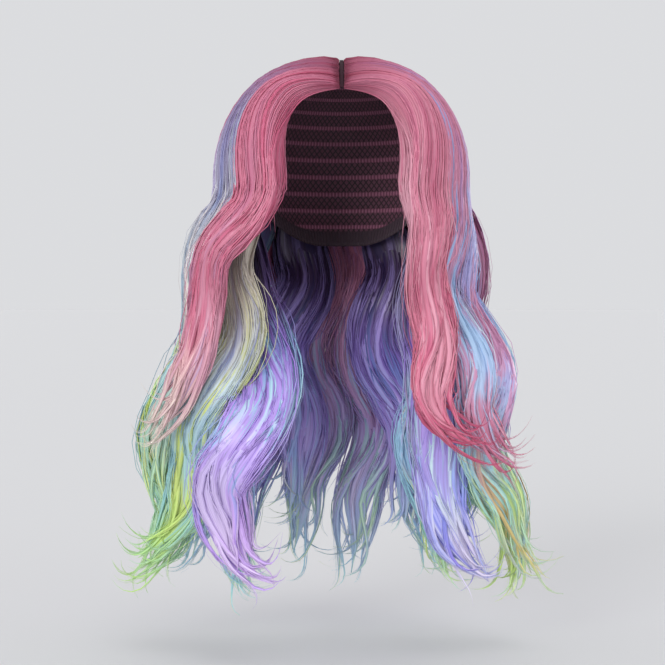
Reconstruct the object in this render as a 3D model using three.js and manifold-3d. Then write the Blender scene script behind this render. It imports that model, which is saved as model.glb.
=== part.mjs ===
// A long-haired costume wig in the form that it has when it is worn: a hollow net cap, a middle parting,
// crown hair on both sides of it, and loose waved locks that hang to the chest and down the back.
// Millimetres, +Z up. The face looks along -Y, and +X is on the viewer's right.
// The origin is the point inside the cap that sits on the crown of the head.
import * as THREE from "three";
import { mergeVertices } from "three/addons/utils/BufferGeometryUtils.js";
import Module from "manifold-3d";

const wasm = await Module();
wasm.setup();

// Head and cap
const CAP_HALF_WIDTH = 80;
const CAP_HALF_LENGTH = 100;
const CAP_CROWN = 100; // from the crown of the head down to its widest level
const CAP_WALL = 1.5;

// Hair on the head
const PIECE_GAP = 0.7; // between the cap, the crown hair and the locks that lie on it
const LOCK_SEAT = 0.9; // from the crown hair's ridges to a lock, which leaves its flat faces the piece gap
const CROWN_TOP = 4.5; // thickness of the crown hair at the parting
const CROWN_SIDE = 12; // and at the ears
const CROWN_FLUTE = 1.2; // depth of its ridges
const CROWN_FRONT = 0.05; // where it starts in its flow, so that the front lock covers its edge
const LOCK_TOP = 4.5; // thickness of a top lock at the parting
const LOCK_SIDE = 16; // and at the ears
const LOCK_SPLIT = 1.4; // clear space between two top locks side by side
const LOCK_START = 0.02; // share of the flow at which they start beside the parting
const HEAD_ROUNDING = 0.6; // power of a lock's section on the head: 1 is an oval, and less is squarer
const FALL_ROUNDING = 0.8; // and where it hangs
const LOCK_GROOVE = 0.8; // height of a hanging lock's grooves as a share of its ridges

// The flow of the hair, in degrees: round from the face, or down from the crown
const FACE_EDGE = 30;
const BROW_EDGE = 35;
const BROW_FRONT = 56;
const BROW_BACK = 66;
const EAR_LEVEL = 95;
const UNDER_DROP = 2.5; // from the crown hair's edge down to the start of the under locks
const UNDER_SEAM = 8; // height of the seam that holds them

// Parting
const PART_FRONT = 45; // degrees from the crown forward to the hairline
const PART_BACK = 32; // and back to the end of the parting
const PART_HALF_WIDTH = 2.2; // from the middle of the parting to the hair beside it
const STRIP_CLEARANCE = 0.5; // from the strip to the hair beside it
const STRIP_THICKNESS = 1.2;

// Hanging locks
const HAIR_FALL = 470; // from the crown of the head to the lowest tip
const LOCK_WIDTH = 50; // the unit of the lock tables' width column
const FALL_THICKNESS = 13;
const TIP_SHARE = 0.36; // width of a tip as a share of its lock's width
const TAPER_FROM = 0.85; // share of a lock's fall at which it starts to taper
const WIDTH_SETTLED = 0.3; // share of its fall over which it takes its hanging width
const WAVE_GROWN = 0.4; // and its full waves
const CURL_LENGTH = 80; // of the turned end of a lock
const WAVE_LENGTH = 150;
const WAVE_SIDE = 14; // sideways swing of a full wave
const WAVE_OUT = 11; // and its swing away from the body
const CHEST_SETBACK = 8; // from the brow's plane back to the hair on the chest
const BACK_SETBACK = 4; // from the back of the head forward to the hair on the back
const CHEST_ROUND = 0.42; // how fast the hair lies further back towards the shoulders
const CHEST_FLAT = 0.7; // share of the hair's half width over which the chest is flat
const SETTLE_FROM = 0.26; // shares of the fall between which a lock comes to lie on the body
const SETTLE_TO = 0.68;

// Worked out from the sizes above
const HAIR_HALF_WIDTH = CAP_HALF_WIDTH + CAP_WALL + 2 * PIECE_GAP + CROWN_SIDE + LOCK_SIDE;
const CROWN_SEAT = CAP_WALL + PIECE_GAP;
const STRIP_WIDTH = 2 * (PART_HALF_WIDTH - STRIP_CLEARANCE);
const LAYER = FALL_THICKNESS + 2 * PIECE_GAP;

// Mesh density
const CAP_SEGMENTS = 32;
const CAP_ROWS = 8;
const STRIP_ROWS = 14;
const CROWN_SEGMENTS = 14;
const CROWN_ROWS = 14;
const LOCK_SIDES = 8;
const HEAD_STATIONS = 9;
const SEAM_STATIONS = 2;
const FALL_STATIONS = 13;
const CURL_STATIONS = 4;
const PATH_SAMPLES = 120;

const PINK = 0xee86a8;
const ROSE = 0xe0628c;
const LILAC = 0xb79be0;
const VIOLET = 0x9a78d8;
const SKY = 0x9cc4ee;
const MINT = 0xa6dcc6;
const LIME = 0xcbe27a;
const CAP_NET = 0x2f2429;
const STRIP_CLOTH = 0x54222f;
const FIBRE_ROUGHNESS = 0.45;
const CLOTH_ROUGHNESS = 0.8;

const DEGREE = Math.PI / 180;
const { lerp, smoothstep } = THREE.MathUtils;

// The edge of the cap: how far down it reaches, in degrees from the crown, at each angle from the face.
const CAP_EDGE = [
  { at: "hairline", azimuth: 0, reach: 44 },
  { at: "forehead", azimuth: 24, reach: 46 },
  { at: "forehead_corner", azimuth: 35, reach: 54 },
  { at: "temple", azimuth: 45, reach: 77 },
  { at: "ear_tab", azimuth: 64, reach: 106 },
  { at: "over_ear", azimuth: 88, reach: 97 },
  { at: "behind_ear", azimuth: 118, reach: 108 },
  { at: "nape_corner", azimuth: 152, reach: 122 },
  { at: "nape", azimuth: 180, reach: 124 },
];

// Heights at which the lock tables say where a lock passes, as shares of the hair's fall.
const LEVELS = [
  { at: "mouth", down: 0.36 },
  { at: "chin", down: 0.47 },
  { at: "shoulder", down: 0.58 },
  { at: "chest", down: 0.7 },
  { at: "bust", down: 0.83 },
  { at: "hem", down: 0.96 },
];

// Top locks, from the face to the back of the head. from and to are their edges in the crown's flow, 0 at the
// face and 1 at the middle of the back. mouth to hem are the shares of HAIR_HALF_WIDTH at which they pass.
// layer counts how far back they lie in layers, and width is a share of LOCK_WIDTH. fall is the share of
// HAIR_FALL at which the curl starts, curl the degrees that the end turns outwards, wave the strength of its
// waves as a share of a full one, and phase their start in turns.
const TOP_COLUMNS =
  "name side from to mouth chin shoulder chest bust hem lies layer width fall curl wave phase colour".split(" ");
const TOP_LOCKS = [
  ["front_left", -1, 0.0, 0.15, 0.86, 1.1, 1.26, 1.38, 1.48, 1.48, "front", 0, 0.84, 0.56, 35, 0.9, 0.05, PINK],
  ["temple_left", -1, 0.15, 0.3, 1.05, 1.17, 1.23, 1.3, 1.38, 1.44, "front", 2.4, 0.88, 0.7, -25, 0.9, 0.08, LILAC],
  ["side_left", -1, 0.3, 0.47, 1.08, 1.18, 1.25, 1.32, 1.42, 1.52, "front", 3.6, 0.96, 0.84, 60, 0.9, 0.08, MINT],
  ["ear_left", -1, 0.47, 0.64, 0.99, 0.99, 1.0, 1.02, 1.04, 1.03, "back", -2.7, 1, 0.8, 20, 0.9, 0.12, PINK],
  ["back_left", -1, 0.64, 0.82, 0.71, 0.71, 0.73, 0.75, 0.77, 0.75, "back", -0.5, 1.04, 0.84, -15, 0.9, 0.1, ROSE],
  ["middle_left", -1, 0.82, 0.995, 0.24, 0.235, 0.235, 0.235, 0.24, 0.25, "back", 0, 1, 0.8, 20, 0.9, 0.1, PINK],
  ["front_right", 1, 0.0, 0.15, 0.7, 0.66, 0.61, 0.82, 1.15, 1.35, "front", -0.4, 0.76, 0.6, 75, 0.7, 0.14, PINK],
  ["temple_right", 1, 0.15, 0.3, 0.84, 0.85, 0.94, 1.08, 1.22, 1.3, "front", 1, 0.84, 0.62, 40, 0.8, 0.1, PINK],
  ["side_right", 1, 0.3, 0.47, 0.98, 1.08, 1.1, 1.17, 1.26, 1.34, "front", 2.2, 0.92, 0.82, 25, 1, 0.06, LILAC],
  ["ear_right", 1, 0.47, 0.64, 0.99, 0.99, 1.0, 1.02, 1.04, 1.03, "back", -2.7, 1, 0.81, -20, 0.9, 0.1, PINK],
  ["back_right", 1, 0.64, 0.82, 0.71, 0.71, 0.73, 0.75, 0.77, 0.75, "back", -0.5, 1.04, 0.81, 18, 0.9, 0.1, ROSE],
  ["middle_right", 1, 0.82, 0.995, 0.24, 0.235, 0.235, 0.235, 0.24, 0.25, "back", 0, 1, 0.84, -12, 0.9, 0.1, PINK],
];

// Under locks, sewn to the cap's lower rows. seam is the angle from the face at which they are sewn on.
const UNDER_COLUMNS =
  "name side seam mouth chin shoulder chest bust hem lies layer width fall curl wave phase colour".split(" ");
const UNDER_LOCKS = [
  ["cream_left", -1, 66, 0.79, 0.83, 0.96, 1.05, 1.32, 1.46, "front", 1.1, 0.88, 0.8, 35, 0.9, 0.08, LIME],
  ["blue_left", -1, 121, 0.75, 0.75, 0.76, 0.83, 0.92, 0.92, "front", 2.4, 0.88, 0.82, -20, 0.9, 0.08, SKY],
  ["violet_left", -1, 93, 0.66, 0.6, 0.66, 0.76, 0.84, 0.8, "front", 0, 1.06, 0.84, -98, 1, 0.82, VIOLET],
  ["nape_left", -1, 152, 0.37, 0.37, 0.41, 0.45, 0.47, 0.47, "back", -1.8, 1, 0.7, 10, 0.9, 0.1, VIOLET],
  ["blue_right", 1, 118, 0.72, 0.7, 0.68, 0.68, 0.7, 0.74, "front", 4.4, 0.8, 0.8, 20, 0.8, 0.06, SKY],
  ["mint_right", 1, 92, 0.84, 0.9, 1.06, 1.16, 1.27, 1.32, "front", 4.4, 0.88, 0.84, -25, 1, 0.06, MINT],
  ["violet_right", 1, 66, 0.68, 0.64, 0.66, 0.8, 0.76, 1.02, "front", 3.3, 0.96, 0.84, 45, 0.5, 0.06, VIOLET],
  ["nape_right", 1, 152, 0.37, 0.37, 0.41, 0.45, 0.47, 0.47, "back", -1.8, 1, 0.72, -10, 0.9, 0.1, VIOLET],
];

// A table's rows as objects that carry its column names.
function rowsOf(columns, table) {
  return table.map((row) => Object.fromEntries(row.map((value, i) => [columns[i], value])));
}

// The unit direction at an angle from the face and an angle down from the crown, both in degrees.
function direction(azimuth, reach) {
  const down = reach * DEGREE;
  const round = azimuth * DEGREE;
  return new THREE.Vector3(
    Math.sin(down) * Math.sin(round),
    -Math.sin(down) * Math.cos(round),
    Math.cos(down),
  );
}

// The point in that direction, at a height above the cap's inner skin.
function aboveHead(dir, height) {
  return new THREE.Vector3(
    (CAP_HALF_WIDTH + height) * dir.x,
    (CAP_HALF_LENGTH + height) * dir.y,
    -CAP_CROWN + (CAP_CROWN + height) * dir.z,
  );
}

// How far the cap reaches down at an angle from the face: a smooth curve through the rows of CAP_EDGE.
function capReach(azimuth) {
  const edge = new THREE.SplineCurve(CAP_EDGE.map((row) => new THREE.Vector2(row.azimuth, row.reach)));
  const angle = Math.abs(azimuth);
  const next = Math.max(1, CAP_EDGE.findIndex((row) => row.azimuth >= angle));
  const before = CAP_EDGE[next - 1];
  const share = (angle - before.azimuth) / (CAP_EDGE[next].azimuth - before.azimuth);
  return edge.getPoint((next - 1 + share) / (CAP_EDGE.length - 1)).y;
}

// The crown hair's flow: the direction at share s from the face to the back, and share t from the parting
// to the ears. It runs on a curve through the parting, the brow and the ear level.
function crownFlow(side, s, t) {
  const root = direction(0, lerp(PART_FRONT, -PART_BACK, s));
  const brow = direction(side * lerp(BROW_EDGE, 180, s), lerp(BROW_FRONT, BROW_BACK, s));
  const ear = direction(side * lerp(FACE_EDGE, 180, s), EAR_LEVEL);
  const flow = new THREE.CatmullRomCurve3([root, brow, ear], false, "centripetal");
  return flow.getPoint(t).normalize();
}

// The share of the way from the crown to the widest level, squared, which thickens the hair towards the ears.
function towardsEar(dir) {
  return 1 - Math.max(0, dir.z) ** 2;
}

function crownThickness(dir) {
  return lerp(CROWN_TOP, CROWN_SIDE, towardsEar(dir));
}

function lockThickness(dir) {
  return lerp(LOCK_TOP, LOCK_SIDE, towardsEar(dir));
}

// Moves every vertex of a closed geometry to where place says, from its position or uv, and merges the seams.
function shaped(geometry, place) {
  const position = geometry.getAttribute("position");
  const uv = geometry.getAttribute("uv");
  for (let i = 0; i < position.count; i++) {
    const moved = place(new THREE.Vector3().fromBufferAttribute(position, i), uv.getX(i), uv.getY(i));
    position.setXYZ(i, moved.x, moved.y, moved.z);
  }
  geometry.deleteAttribute("uv");
  geometry.deleteAttribute("normal");
  const merged = mergeVertices(geometry, 1e-4);
  merged.computeVertexNormals();
  return merged;
}

// The cap: a lathed double wall, up the inner skin and down the outer one, with each column cut to the edge.
// margin is the amount by which its outer skin is swollen.
function capGeometry(margin = 0) {
  const last = 2 * CAP_ROWS + 1;
  const profile = [];
  for (let row = 0; row <= last; row++) {
    profile.push(new THREE.Vector2(row === 0 || row === last ? 0 : 1, row));
  }
  return shaped(new THREE.LatheGeometry(profile, CAP_SEGMENTS), (point, u, v) => {
    const row = Math.round(v * last);
    const outside = row > CAP_ROWS;
    const share = (outside ? last - row : row) / CAP_ROWS;
    const azimuth = 360 * u - 180;
    const height = outside ? CAP_WALL + margin : 0;
    return aboveHead(direction(azimuth, share * capReach(azimuth)), height);
  });
}

// The strip that shows in the parting: a box bent over the crown.
function stripGeometry() {
  const box = new THREE.BoxGeometry(STRIP_WIDTH, 1, STRIP_THICKNESS, 1, STRIP_ROWS, 1);
  return shaped(box, (point) => {
    const reach = lerp(-PART_BACK, PART_FRONT, point.y + 0.5);
    const height = CROWN_SEAT + STRIP_THICKNESS / 2 + point.z;
    const seated = aboveHead(direction(0, reach), height);
    return seated.setX(point.x);
  });
}

// Keeps a point on its own side of the parting.
function besideParting(point, side) {
  return point.setX(side * Math.max(PART_HALF_WIDTH, side * point.x));
}

// The crown hair of one side: a box laid over the cap along the flow, ridged as combed hair is.
function crownGeometry(side) {
  const box = new THREE.BoxGeometry(1, 1, 1, CROWN_SEGMENTS, CROWN_ROWS, 1);
  return shaped(box, (point) => {
    const across = 0.5 - side * point.x;
    const t = 0.5 - point.y;
    const dir = crownFlow(side, lerp(CROWN_FRONT, 1, across), t);
    const ridge = Math.round(across * CROWN_SEGMENTS) % 2;
    const flute = ridge ? 0 : CROWN_FLUTE * Math.sin(Math.PI * t);
    const height = point.z < 0 ? CROWN_SEAT : CROWN_SEAT + crownThickness(dir) - flute;
    return besideParting(aboveHead(dir, height), side);
  });
}

// The plane in which a hanging lock lies: on the chest in front, or on the back behind.
function lieOf(lock, across) {
  const setBack = lock.layer * LAYER;
  if (lock.lies === "back") return CAP_HALF_LENGTH - BACK_SETBACK + setBack;
  const beyond = Math.max(0, Math.abs(across) - HAIR_HALF_WIDTH * CHEST_FLAT);
  return -(CAP_HALF_LENGTH - CHEST_SETBACK) + CHEST_ROUND * beyond + setBack;
}

// The direction that faces away from the body where a lock lies: the chest's, which turns aside towards the
// shoulders, or the back's.
function faceOf(lock, across) {
  if (lock.lies === "back") return new THREE.Vector3(0, 1, 0);
  const beyond = smoothstep(Math.abs(across) / HAIR_HALF_WIDTH, CHEST_FLAT / 2, 3 * CHEST_FLAT / 2);
  return new THREE.Vector3(Math.sign(across) * CHEST_ROUND * beyond, -1, 0).normalize();
}

// The middle line of a lock, over the head and down to the hem.
function lockCurve(lock, onHead) {
  const leaves = onHead[onHead.length - 1];
  const points = [...onHead];
  for (const level of LEVELS) {
    const across = lock.side * lock[level.at] * HAIR_HALF_WIDTH;
    const settled = smoothstep(level.down, SETTLE_FROM, SETTLE_TO);
    const lie = lerp(leaves.y, lieOf(lock, across), settled);
    points.push(new THREE.Vector3(across, lie, -level.down * HAIR_FALL));
  }
  return new THREE.CatmullRomCurve3(points, false, "centripetal");
}

// The stations of a lock below the head: middle, direction across, outward direction and direction along,
// with share 0 at the ears and 1 at the start of the curl.
function fallStations(lock, onHead) {
  const curve = lockCurve(lock, onHead);
  const samples = curve.getSpacedPoints(PATH_SAMPLES);
  const leaves = onHead[onHead.length - 1];
  const start = 1 + samples.findIndex((point) => point.z < leaves.z);
  const end = samples.findIndex((point) => -point.z >= lock.fall * HAIR_FALL);
  const stations = [];
  for (let i = 1; i <= FALL_STATIONS; i++) {
    const share = i / FALL_STATIONS;
    const at = lerp(start, end, share);
    const low = Math.floor(at);
    const middle = samples[low].clone().lerp(samples[low + 1], at - low);
    const along = samples[low + 1].clone().sub(samples[low - 1]).normalize();
    const settled = smoothstep(-middle.z / HAIR_FALL, SETTLE_FROM, SETTLE_TO);
    const out = new THREE.Vector3(middle.x, middle.y, 0).normalize().lerp(faceOf(lock, middle.x), settled);
    const across = new THREE.Vector3().crossVectors(along, out).normalize();
    out.crossVectors(across, along).normalize();
    const turn = 2 * Math.PI * (-middle.z / WAVE_LENGTH + lock.phase);
    const grown = lock.wave * smoothstep(share, 0, WAVE_GROWN);
    middle.addScaledVector(across, WAVE_SIDE * grown * Math.sin(turn));
    middle.addScaledVector(out, WAVE_OUT * grown * Math.cos(turn));
    stations.push({ middle, across, out, along, share });
  }
  return stations;
}

// The turned end: the lock goes on along an arc, towards the outer side of the head for a positive curl.
function curlStations(lock, last) {
  const stations = [];
  const turn = lock.curl * DEGREE;
  const radius = CURL_LENGTH / turn;
  const aside = last.across.clone().multiplyScalar(Math.sign(last.across.x) * lock.side);
  for (let i = 1; i <= CURL_STATIONS; i++) {
    const share = i / CURL_STATIONS;
    const angle = turn * share;
    const middle = last.middle.clone();
    middle.addScaledVector(last.along, radius * Math.sin(angle));
    middle.addScaledVector(aside, radius * (1 - Math.cos(angle)));
    const along = last.along.clone().multiplyScalar(Math.cos(angle)).addScaledVector(aside, Math.sin(angle));
    const across = new THREE.Vector3().crossVectors(along, last.out).normalize();
    stations.push({ middle, across, out: last.out, along, share: 1 + share });
  }
  return stations;
}

// The corners of a lock's section: the share of the half width across, and of the half thickness outwards.
// With loose at 0 it is a flat pad that closes up to its neighbours on the head. At 1 it is an oval with a
// groove at every second corner, as hanging hair parts into strands.
function sectionCorners(loose) {
  const rounding = lerp(HEAD_ROUNDING, FALL_ROUNDING, loose);
  const groove = lerp(1, LOCK_GROOVE, loose);
  const eased = (value) => Math.sign(value) * Math.abs(value) ** rounding;
  return Array.from({ length: LOCK_SIDES }, (_, i) => {
    const angle = (2 * Math.PI * i) / LOCK_SIDES;
    return { across: eased(Math.cos(angle)), out: eased(Math.sin(angle)) * (i % 2 ? groove : 1) };
  });
}

// The ring of a station in free air.
function ringOf(station, halfWidth, halfThickness, loose) {
  return sectionCorners(loose).map((corner) =>
    station.middle
      .clone()
      .addScaledVector(station.across, halfWidth * corner.across)
      .addScaledVector(station.out, halfThickness * corner.out),
  );
}

// How wide a lock is along its fall, as a share of its width, with the share of a station.
function fullness(share) {
  return 1 - (1 - TIP_SHARE) * smoothstep(share, TAPER_FROM, 2);
}

// A solid through a list of rings, closed at both ends, with a sphere's grid bent onto them.
function throughRings(rings) {
  const rows = rings.length + 1;
  const ends = [rings[0], rings[rings.length - 1]].map((ring) => {
    const sum = ring.reduce((total, point) => total.add(point), new THREE.Vector3());
    return sum.divideScalar(ring.length);
  });
  return shaped(new THREE.SphereGeometry(1, LOCK_SIDES, rows), (point, u, v) => {
    const row = Math.round((1 - v) * rows);
    if (row === 0) return ends[0];
    if (row === rows) return ends[1];
    return rings[row - 1][Math.round(u * LOCK_SIDES + LOCK_SIDES) % LOCK_SIDES];
  });
}

// Turns a solid's faces round if they point inwards.
function facingOut(geometry) {
  const position = geometry.getAttribute("position");
  const index = geometry.index.array;
  const [a, b, c] = [new THREE.Vector3(), new THREE.Vector3(), new THREE.Vector3()];
  let volume = 0;
  for (let i = 0; i < index.length; i += 3) {
    a.fromBufferAttribute(position, index[i]);
    b.fromBufferAttribute(position, index[i + 1]);
    c.fromBufferAttribute(position, index[i + 2]);
    volume += a.dot(b.cross(c));
  }
  if (volume < 0) {
    for (let i = 0; i < index.length; i += 3) [index[i], index[i + 1]] = [index[i + 1], index[i]];
    geometry.computeVertexNormals();
  }
  return geometry;
}

// The rings of a top lock: a band over the crown between two lines of the flow, and then the hanging part.
// margin is the amount by which it is swollen on every side.
function topLockRings(lock, margin) {
  const onHead = [];
  const rings = [];
  for (let i = 0; i <= HEAD_STATIONS; i++) {
    const t = lerp(LOCK_START, 1, i / HEAD_STATIONS);
    const flowAt = (s) => crownFlow(lock.side, s, t);
    const dir = flowAt((lock.from + lock.to) / 2);
    const halfThickness = lockThickness(dir) / 2;
    const seat = CROWN_SEAT + crownThickness(dir) + LOCK_SEAT + halfThickness;
    const span = aboveHead(flowAt(lock.from), seat).distanceTo(aboveHead(flowAt(lock.to), seat));
    const filled = (span - LOCK_SPLIT + 2 * margin) / span;
    onHead.push(aboveHead(dir, seat));
    rings.push(
      sectionCorners(0).map((corner) => {
        const s = lerp(lock.from, lock.to, 0.5 + 0.5 * filled * corner.across);
        const height = seat + (halfThickness + margin) * corner.out;
        return besideParting(aboveHead(flowAt(s), height), lock.side);
      }),
    );
  }
  return hangFrom(lock, onHead, rings, LOCK_SIDE, margin);
}

// The rings of an under lock: it starts on the cap just below the crown hair, and is cut clear of the cap.
function underLockRings(lock, margin) {
  const thickness = CROWN_SIDE - PIECE_GAP;
  const seat = CAP_WALL + thickness / 2;
  const halfWidth = (lock.width * LOCK_WIDTH) / 2 + margin;
  const onHead = [];
  const rings = [];
  for (let i = 0; i <= SEAM_STATIONS; i++) {
    const reach = EAR_LEVEL + UNDER_DROP + (UNDER_SEAM * i) / SEAM_STATIONS;
    onHead.push(aboveHead(direction(lock.side * lock.seam, reach), seat));
    rings.push(
      sectionCorners(0).map((corner) => {
        const spread = (halfWidth * corner.across) / CAP_HALF_LENGTH / DEGREE;
        const height = seat + (thickness / 2 + margin) * corner.out;
        return aboveHead(direction(lock.side * (lock.seam + spread), reach), height);
      }),
    );
  }
  return hangFrom(lock, onHead, rings, thickness, margin);
}

// Adds the hanging part and the curled end to a lock's rings on the head.
function hangFrom(lock, onHead, rings, thickness, margin) {
  const stations = fallStations(lock, onHead);
  stations.push(...curlStations(lock, stations[stations.length - 1]));
  const first = rings[rings.length - 1];
  const firstWidth = first[0].distanceTo(first[LOCK_SIDES / 2]) - 2 * margin;
  for (const station of stations) {
    const eased = smoothstep(station.share, 0, WIDTH_SETTLED);
    const full = fullness(station.share);
    const width = lerp(firstWidth, lock.width * LOCK_WIDTH, eased) * full;
    const depth = lerp(thickness, FALL_THICKNESS, eased) * full;
    rings.push(ringOf(station, width / 2 + margin, depth / 2 + margin, eased));
  }
  alignRings(rings);
  return rings;
}

// Starts each ring at the corner nearest the start of the ring before it, running the same way round.
function alignRings(rings) {
  for (let i = 1; i < rings.length; i++) {
    const before = rings[i - 1];
    const options = [];
    for (const ring of [rings[i], [...rings[i]].reverse()]) {
      for (let k = 0; k < LOCK_SIDES; k++) options.push([...ring.slice(k), ...ring.slice(0, k)]);
    }
    const apart = (ring) => ring.reduce((sum, point, k) => sum + point.distanceTo(before[k]), 0);
    rings[i] = options.reduce((best, ring) => (apart(ring) < apart(best) ? ring : best));
  }
}

function solidOf(geometry) {
  return new wasm.Manifold(
    new wasm.Mesh({
      numProp: 3,
      vertProperties: geometry.getAttribute("position").array,
      triVerts: new Uint32Array(geometry.index.array),
    }),
  );
}

function geometryOf(solid) {
  const mesh = solid.getMesh();
  const geometry = new THREE.BufferGeometry();
  geometry.setAttribute("position", new THREE.BufferAttribute(mesh.vertProperties, 3));
  geometry.setIndex(new THREE.BufferAttribute(mesh.triVerts, 1));
  geometry.computeVertexNormals();
  return geometry;
}

// A lock, cut clear of every earlier solid that it touches. Each of those is given swollen by the piece gap.
function clearedLock(geometry, swollen) {
  let solid = solidOf(geometry);
  for (const other of swollen) {
    if (solid.intersect(other).volume() < 1e-3) continue;
    const left = solid.subtract(other).decompose();
    solid = left.reduce((best, body) => (body.volume() > best.volume() ? body : best));
  }
  return geometryOf(solid);
}

function meshOf(name, geometry, colour, roughness) {
  const mesh = new THREE.Mesh(
    geometry,
    new THREE.MeshStandardMaterial({ color: colour, roughness, metalness: 0 }),
  );
  mesh.name = name;
  return mesh;
}

const wig = new THREE.Group();
wig.add(meshOf("net_cap", facingOut(capGeometry()), CAP_NET, CLOTH_ROUGHNESS));
wig.add(meshOf("parting_strip", facingOut(stripGeometry()), STRIP_CLOTH, CLOTH_ROUGHNESS));
wig.add(meshOf("crown_left", facingOut(crownGeometry(-1)), PINK, FIBRE_ROUGHNESS));
wig.add(meshOf("crown_right", facingOut(crownGeometry(1)), PINK, FIBRE_ROUGHNESS));

const swollen = [solidOf(facingOut(capGeometry(PIECE_GAP / 2)))];
for (const [prefix, ringsOf, columns, table] of [
  ["lock_", topLockRings, TOP_COLUMNS, TOP_LOCKS],
  ["under_", underLockRings, UNDER_COLUMNS, UNDER_LOCKS],
]) {
  for (const lock of rowsOf(columns, table)) {
    const whole = facingOut(throughRings(ringsOf(lock, 0)));
    wig.add(meshOf(prefix + lock.name, clearedLock(whole, swollen), lock.colour, FIBRE_ROUGHNESS));
    swollen.push(solidOf(facingOut(throughRings(ringsOf(lock, PIECE_GAP)))));
  }
}

export default wig;
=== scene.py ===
import bpy
import numpy as np
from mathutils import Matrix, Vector


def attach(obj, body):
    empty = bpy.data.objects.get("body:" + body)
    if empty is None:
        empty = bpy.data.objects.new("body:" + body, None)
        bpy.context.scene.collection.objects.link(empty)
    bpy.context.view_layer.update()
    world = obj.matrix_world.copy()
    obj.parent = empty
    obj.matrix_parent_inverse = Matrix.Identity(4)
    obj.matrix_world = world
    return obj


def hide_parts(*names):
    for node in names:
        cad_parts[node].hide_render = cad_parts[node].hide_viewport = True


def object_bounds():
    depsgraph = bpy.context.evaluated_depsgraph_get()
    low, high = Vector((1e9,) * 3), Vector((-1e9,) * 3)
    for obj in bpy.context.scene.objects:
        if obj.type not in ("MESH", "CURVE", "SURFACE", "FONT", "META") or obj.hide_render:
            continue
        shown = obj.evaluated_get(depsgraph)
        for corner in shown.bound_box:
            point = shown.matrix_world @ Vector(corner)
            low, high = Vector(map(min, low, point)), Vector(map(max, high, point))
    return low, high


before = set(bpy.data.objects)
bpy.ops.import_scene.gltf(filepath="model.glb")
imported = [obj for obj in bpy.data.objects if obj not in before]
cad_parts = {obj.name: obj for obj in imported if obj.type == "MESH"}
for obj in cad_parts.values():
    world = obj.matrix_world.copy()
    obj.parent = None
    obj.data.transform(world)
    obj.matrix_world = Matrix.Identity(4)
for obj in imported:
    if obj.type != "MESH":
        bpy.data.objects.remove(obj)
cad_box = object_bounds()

MM = 0.001
DEGREE = np.pi / 180
SEED = 11

# Head, cap and parting, with the sizes of the solids
CAP_HALF_WIDTH = 80 * MM
CAP_HALF_LENGTH = 100 * MM
CAP_CROWN = 100 * MM
CAP_WALL = 1.5 * MM
PIECE_GAP = 0.7 * MM
LOCK_SEAT = 0.9 * MM
CROWN_TOP = 4.5 * MM
CROWN_SIDE = 12 * MM
CROWN_FRONT = 0.05
LOCK_TOP = 4.5 * MM
LOCK_SIDE = 16 * MM
LOCK_SPLIT = 1.4 * MM
LOCK_START = 0.02
FACE_EDGE = 30
BROW_EDGE = 35
BROW_FRONT = 56
BROW_BACK = 66
EAR_LEVEL = 95
UNDER_DROP = 2.5
UNDER_SEAM = 8
PART_FRONT = 45
PART_BACK = 32
PART_HALF_WIDTH = 2.2 * MM
STRIP_WIDTH = 3.4 * MM
STRIP_THICKNESS = 1.2 * MM

# Hanging locks, with the sizes of the solids
HAIR_FALL = 470 * MM
LOCK_WIDTH = 50 * MM
FALL_THICKNESS = 13 * MM
TIP_SHARE = 0.36
TAPER_FROM = 0.85
WIDTH_SETTLED = 0.3
WAVE_GROWN = 0.4
CURL_LENGTH = 80 * MM
WAVE_LENGTH = 150 * MM
WAVE_SIDE = 14 * MM
WAVE_OUT = 11 * MM
CHEST_SETBACK = 8 * MM
BACK_SETBACK = 4 * MM
CHEST_ROUND = 0.42
CHEST_FLAT = 0.7
SETTLE_FROM = 0.26
SETTLE_TO = 0.68
HAIR_HALF_WIDTH = CAP_HALF_WIDTH + CAP_WALL + 2 * PIECE_GAP + CROWN_SIDE + LOCK_SIDE
CROWN_SEAT = CAP_WALL + PIECE_GAP
LAYER = FALL_THICKNESS + 2 * PIECE_GAP

# Fine form of the hair
PATH_STEP = 2 * MM
PATH_SPREAD = 8 * MM  # how far a path is evened out, so that the curls run on from the waves
OVERRUN = 26 * MM  # that a path goes on past its solid's tip, for the longest strands
BRIDGE = 35 * MM  # below the ears, over which a lock turns from a band on the head into a hanging lock
RISE = 62 * MM  # over which the hair rises from the parting
ROOT_LINE = 1.5 * MM  # from the middle of the parting to the nearest fibres
TUFTS = 14
STRANDS = 178
STRAND_RINGS = 35
CROWN_RINGS = 18
STRAND_HALF_WIDTH = 0.6 * MM  # a stand-in for some 60 fibres; finer ones don't show
CORE_SIDES = 28
CORE_ROWS = 64
TUFT_SIDES = 6
TUFT_ROWS = 34
CROWN_STRANDS = 90
CROWN_LENGTH = 150 * MM  # of the crown hair from the parting to the ears
ROOT_HEIGHT = 1.4 * MM  # of the hair over the cap at the parting
SECTION_FLATNESS = 0.27  # depth of a lock's section as a share of its width
SECTION_ROUND = 4.3  # way round that section, in half widths
STRAND_FLAT = 1.15  # half width of a strand's edges, in its half widths
STRAND_RIDGE = 0.6  # and the height of its ridge
CORE_ENDS = 0.97  # share of a lock's length that its core takes up
GROOVES = 8
GROOVE_WANDER = 2.2  # radians that the grooves turn to and fro
GROOVE_LENGTH = 48 * MM
POINTED = 0.002  # share of a section's area that is left at a closed tip

# Cap's sewn rows and hem
WEFT_STEP = 9  # degrees of reach between the sewn rows of hair
WEFT_HEIGHT = 0.9 * MM
HEM_HEIGHT = 0.7 * MM

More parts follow.
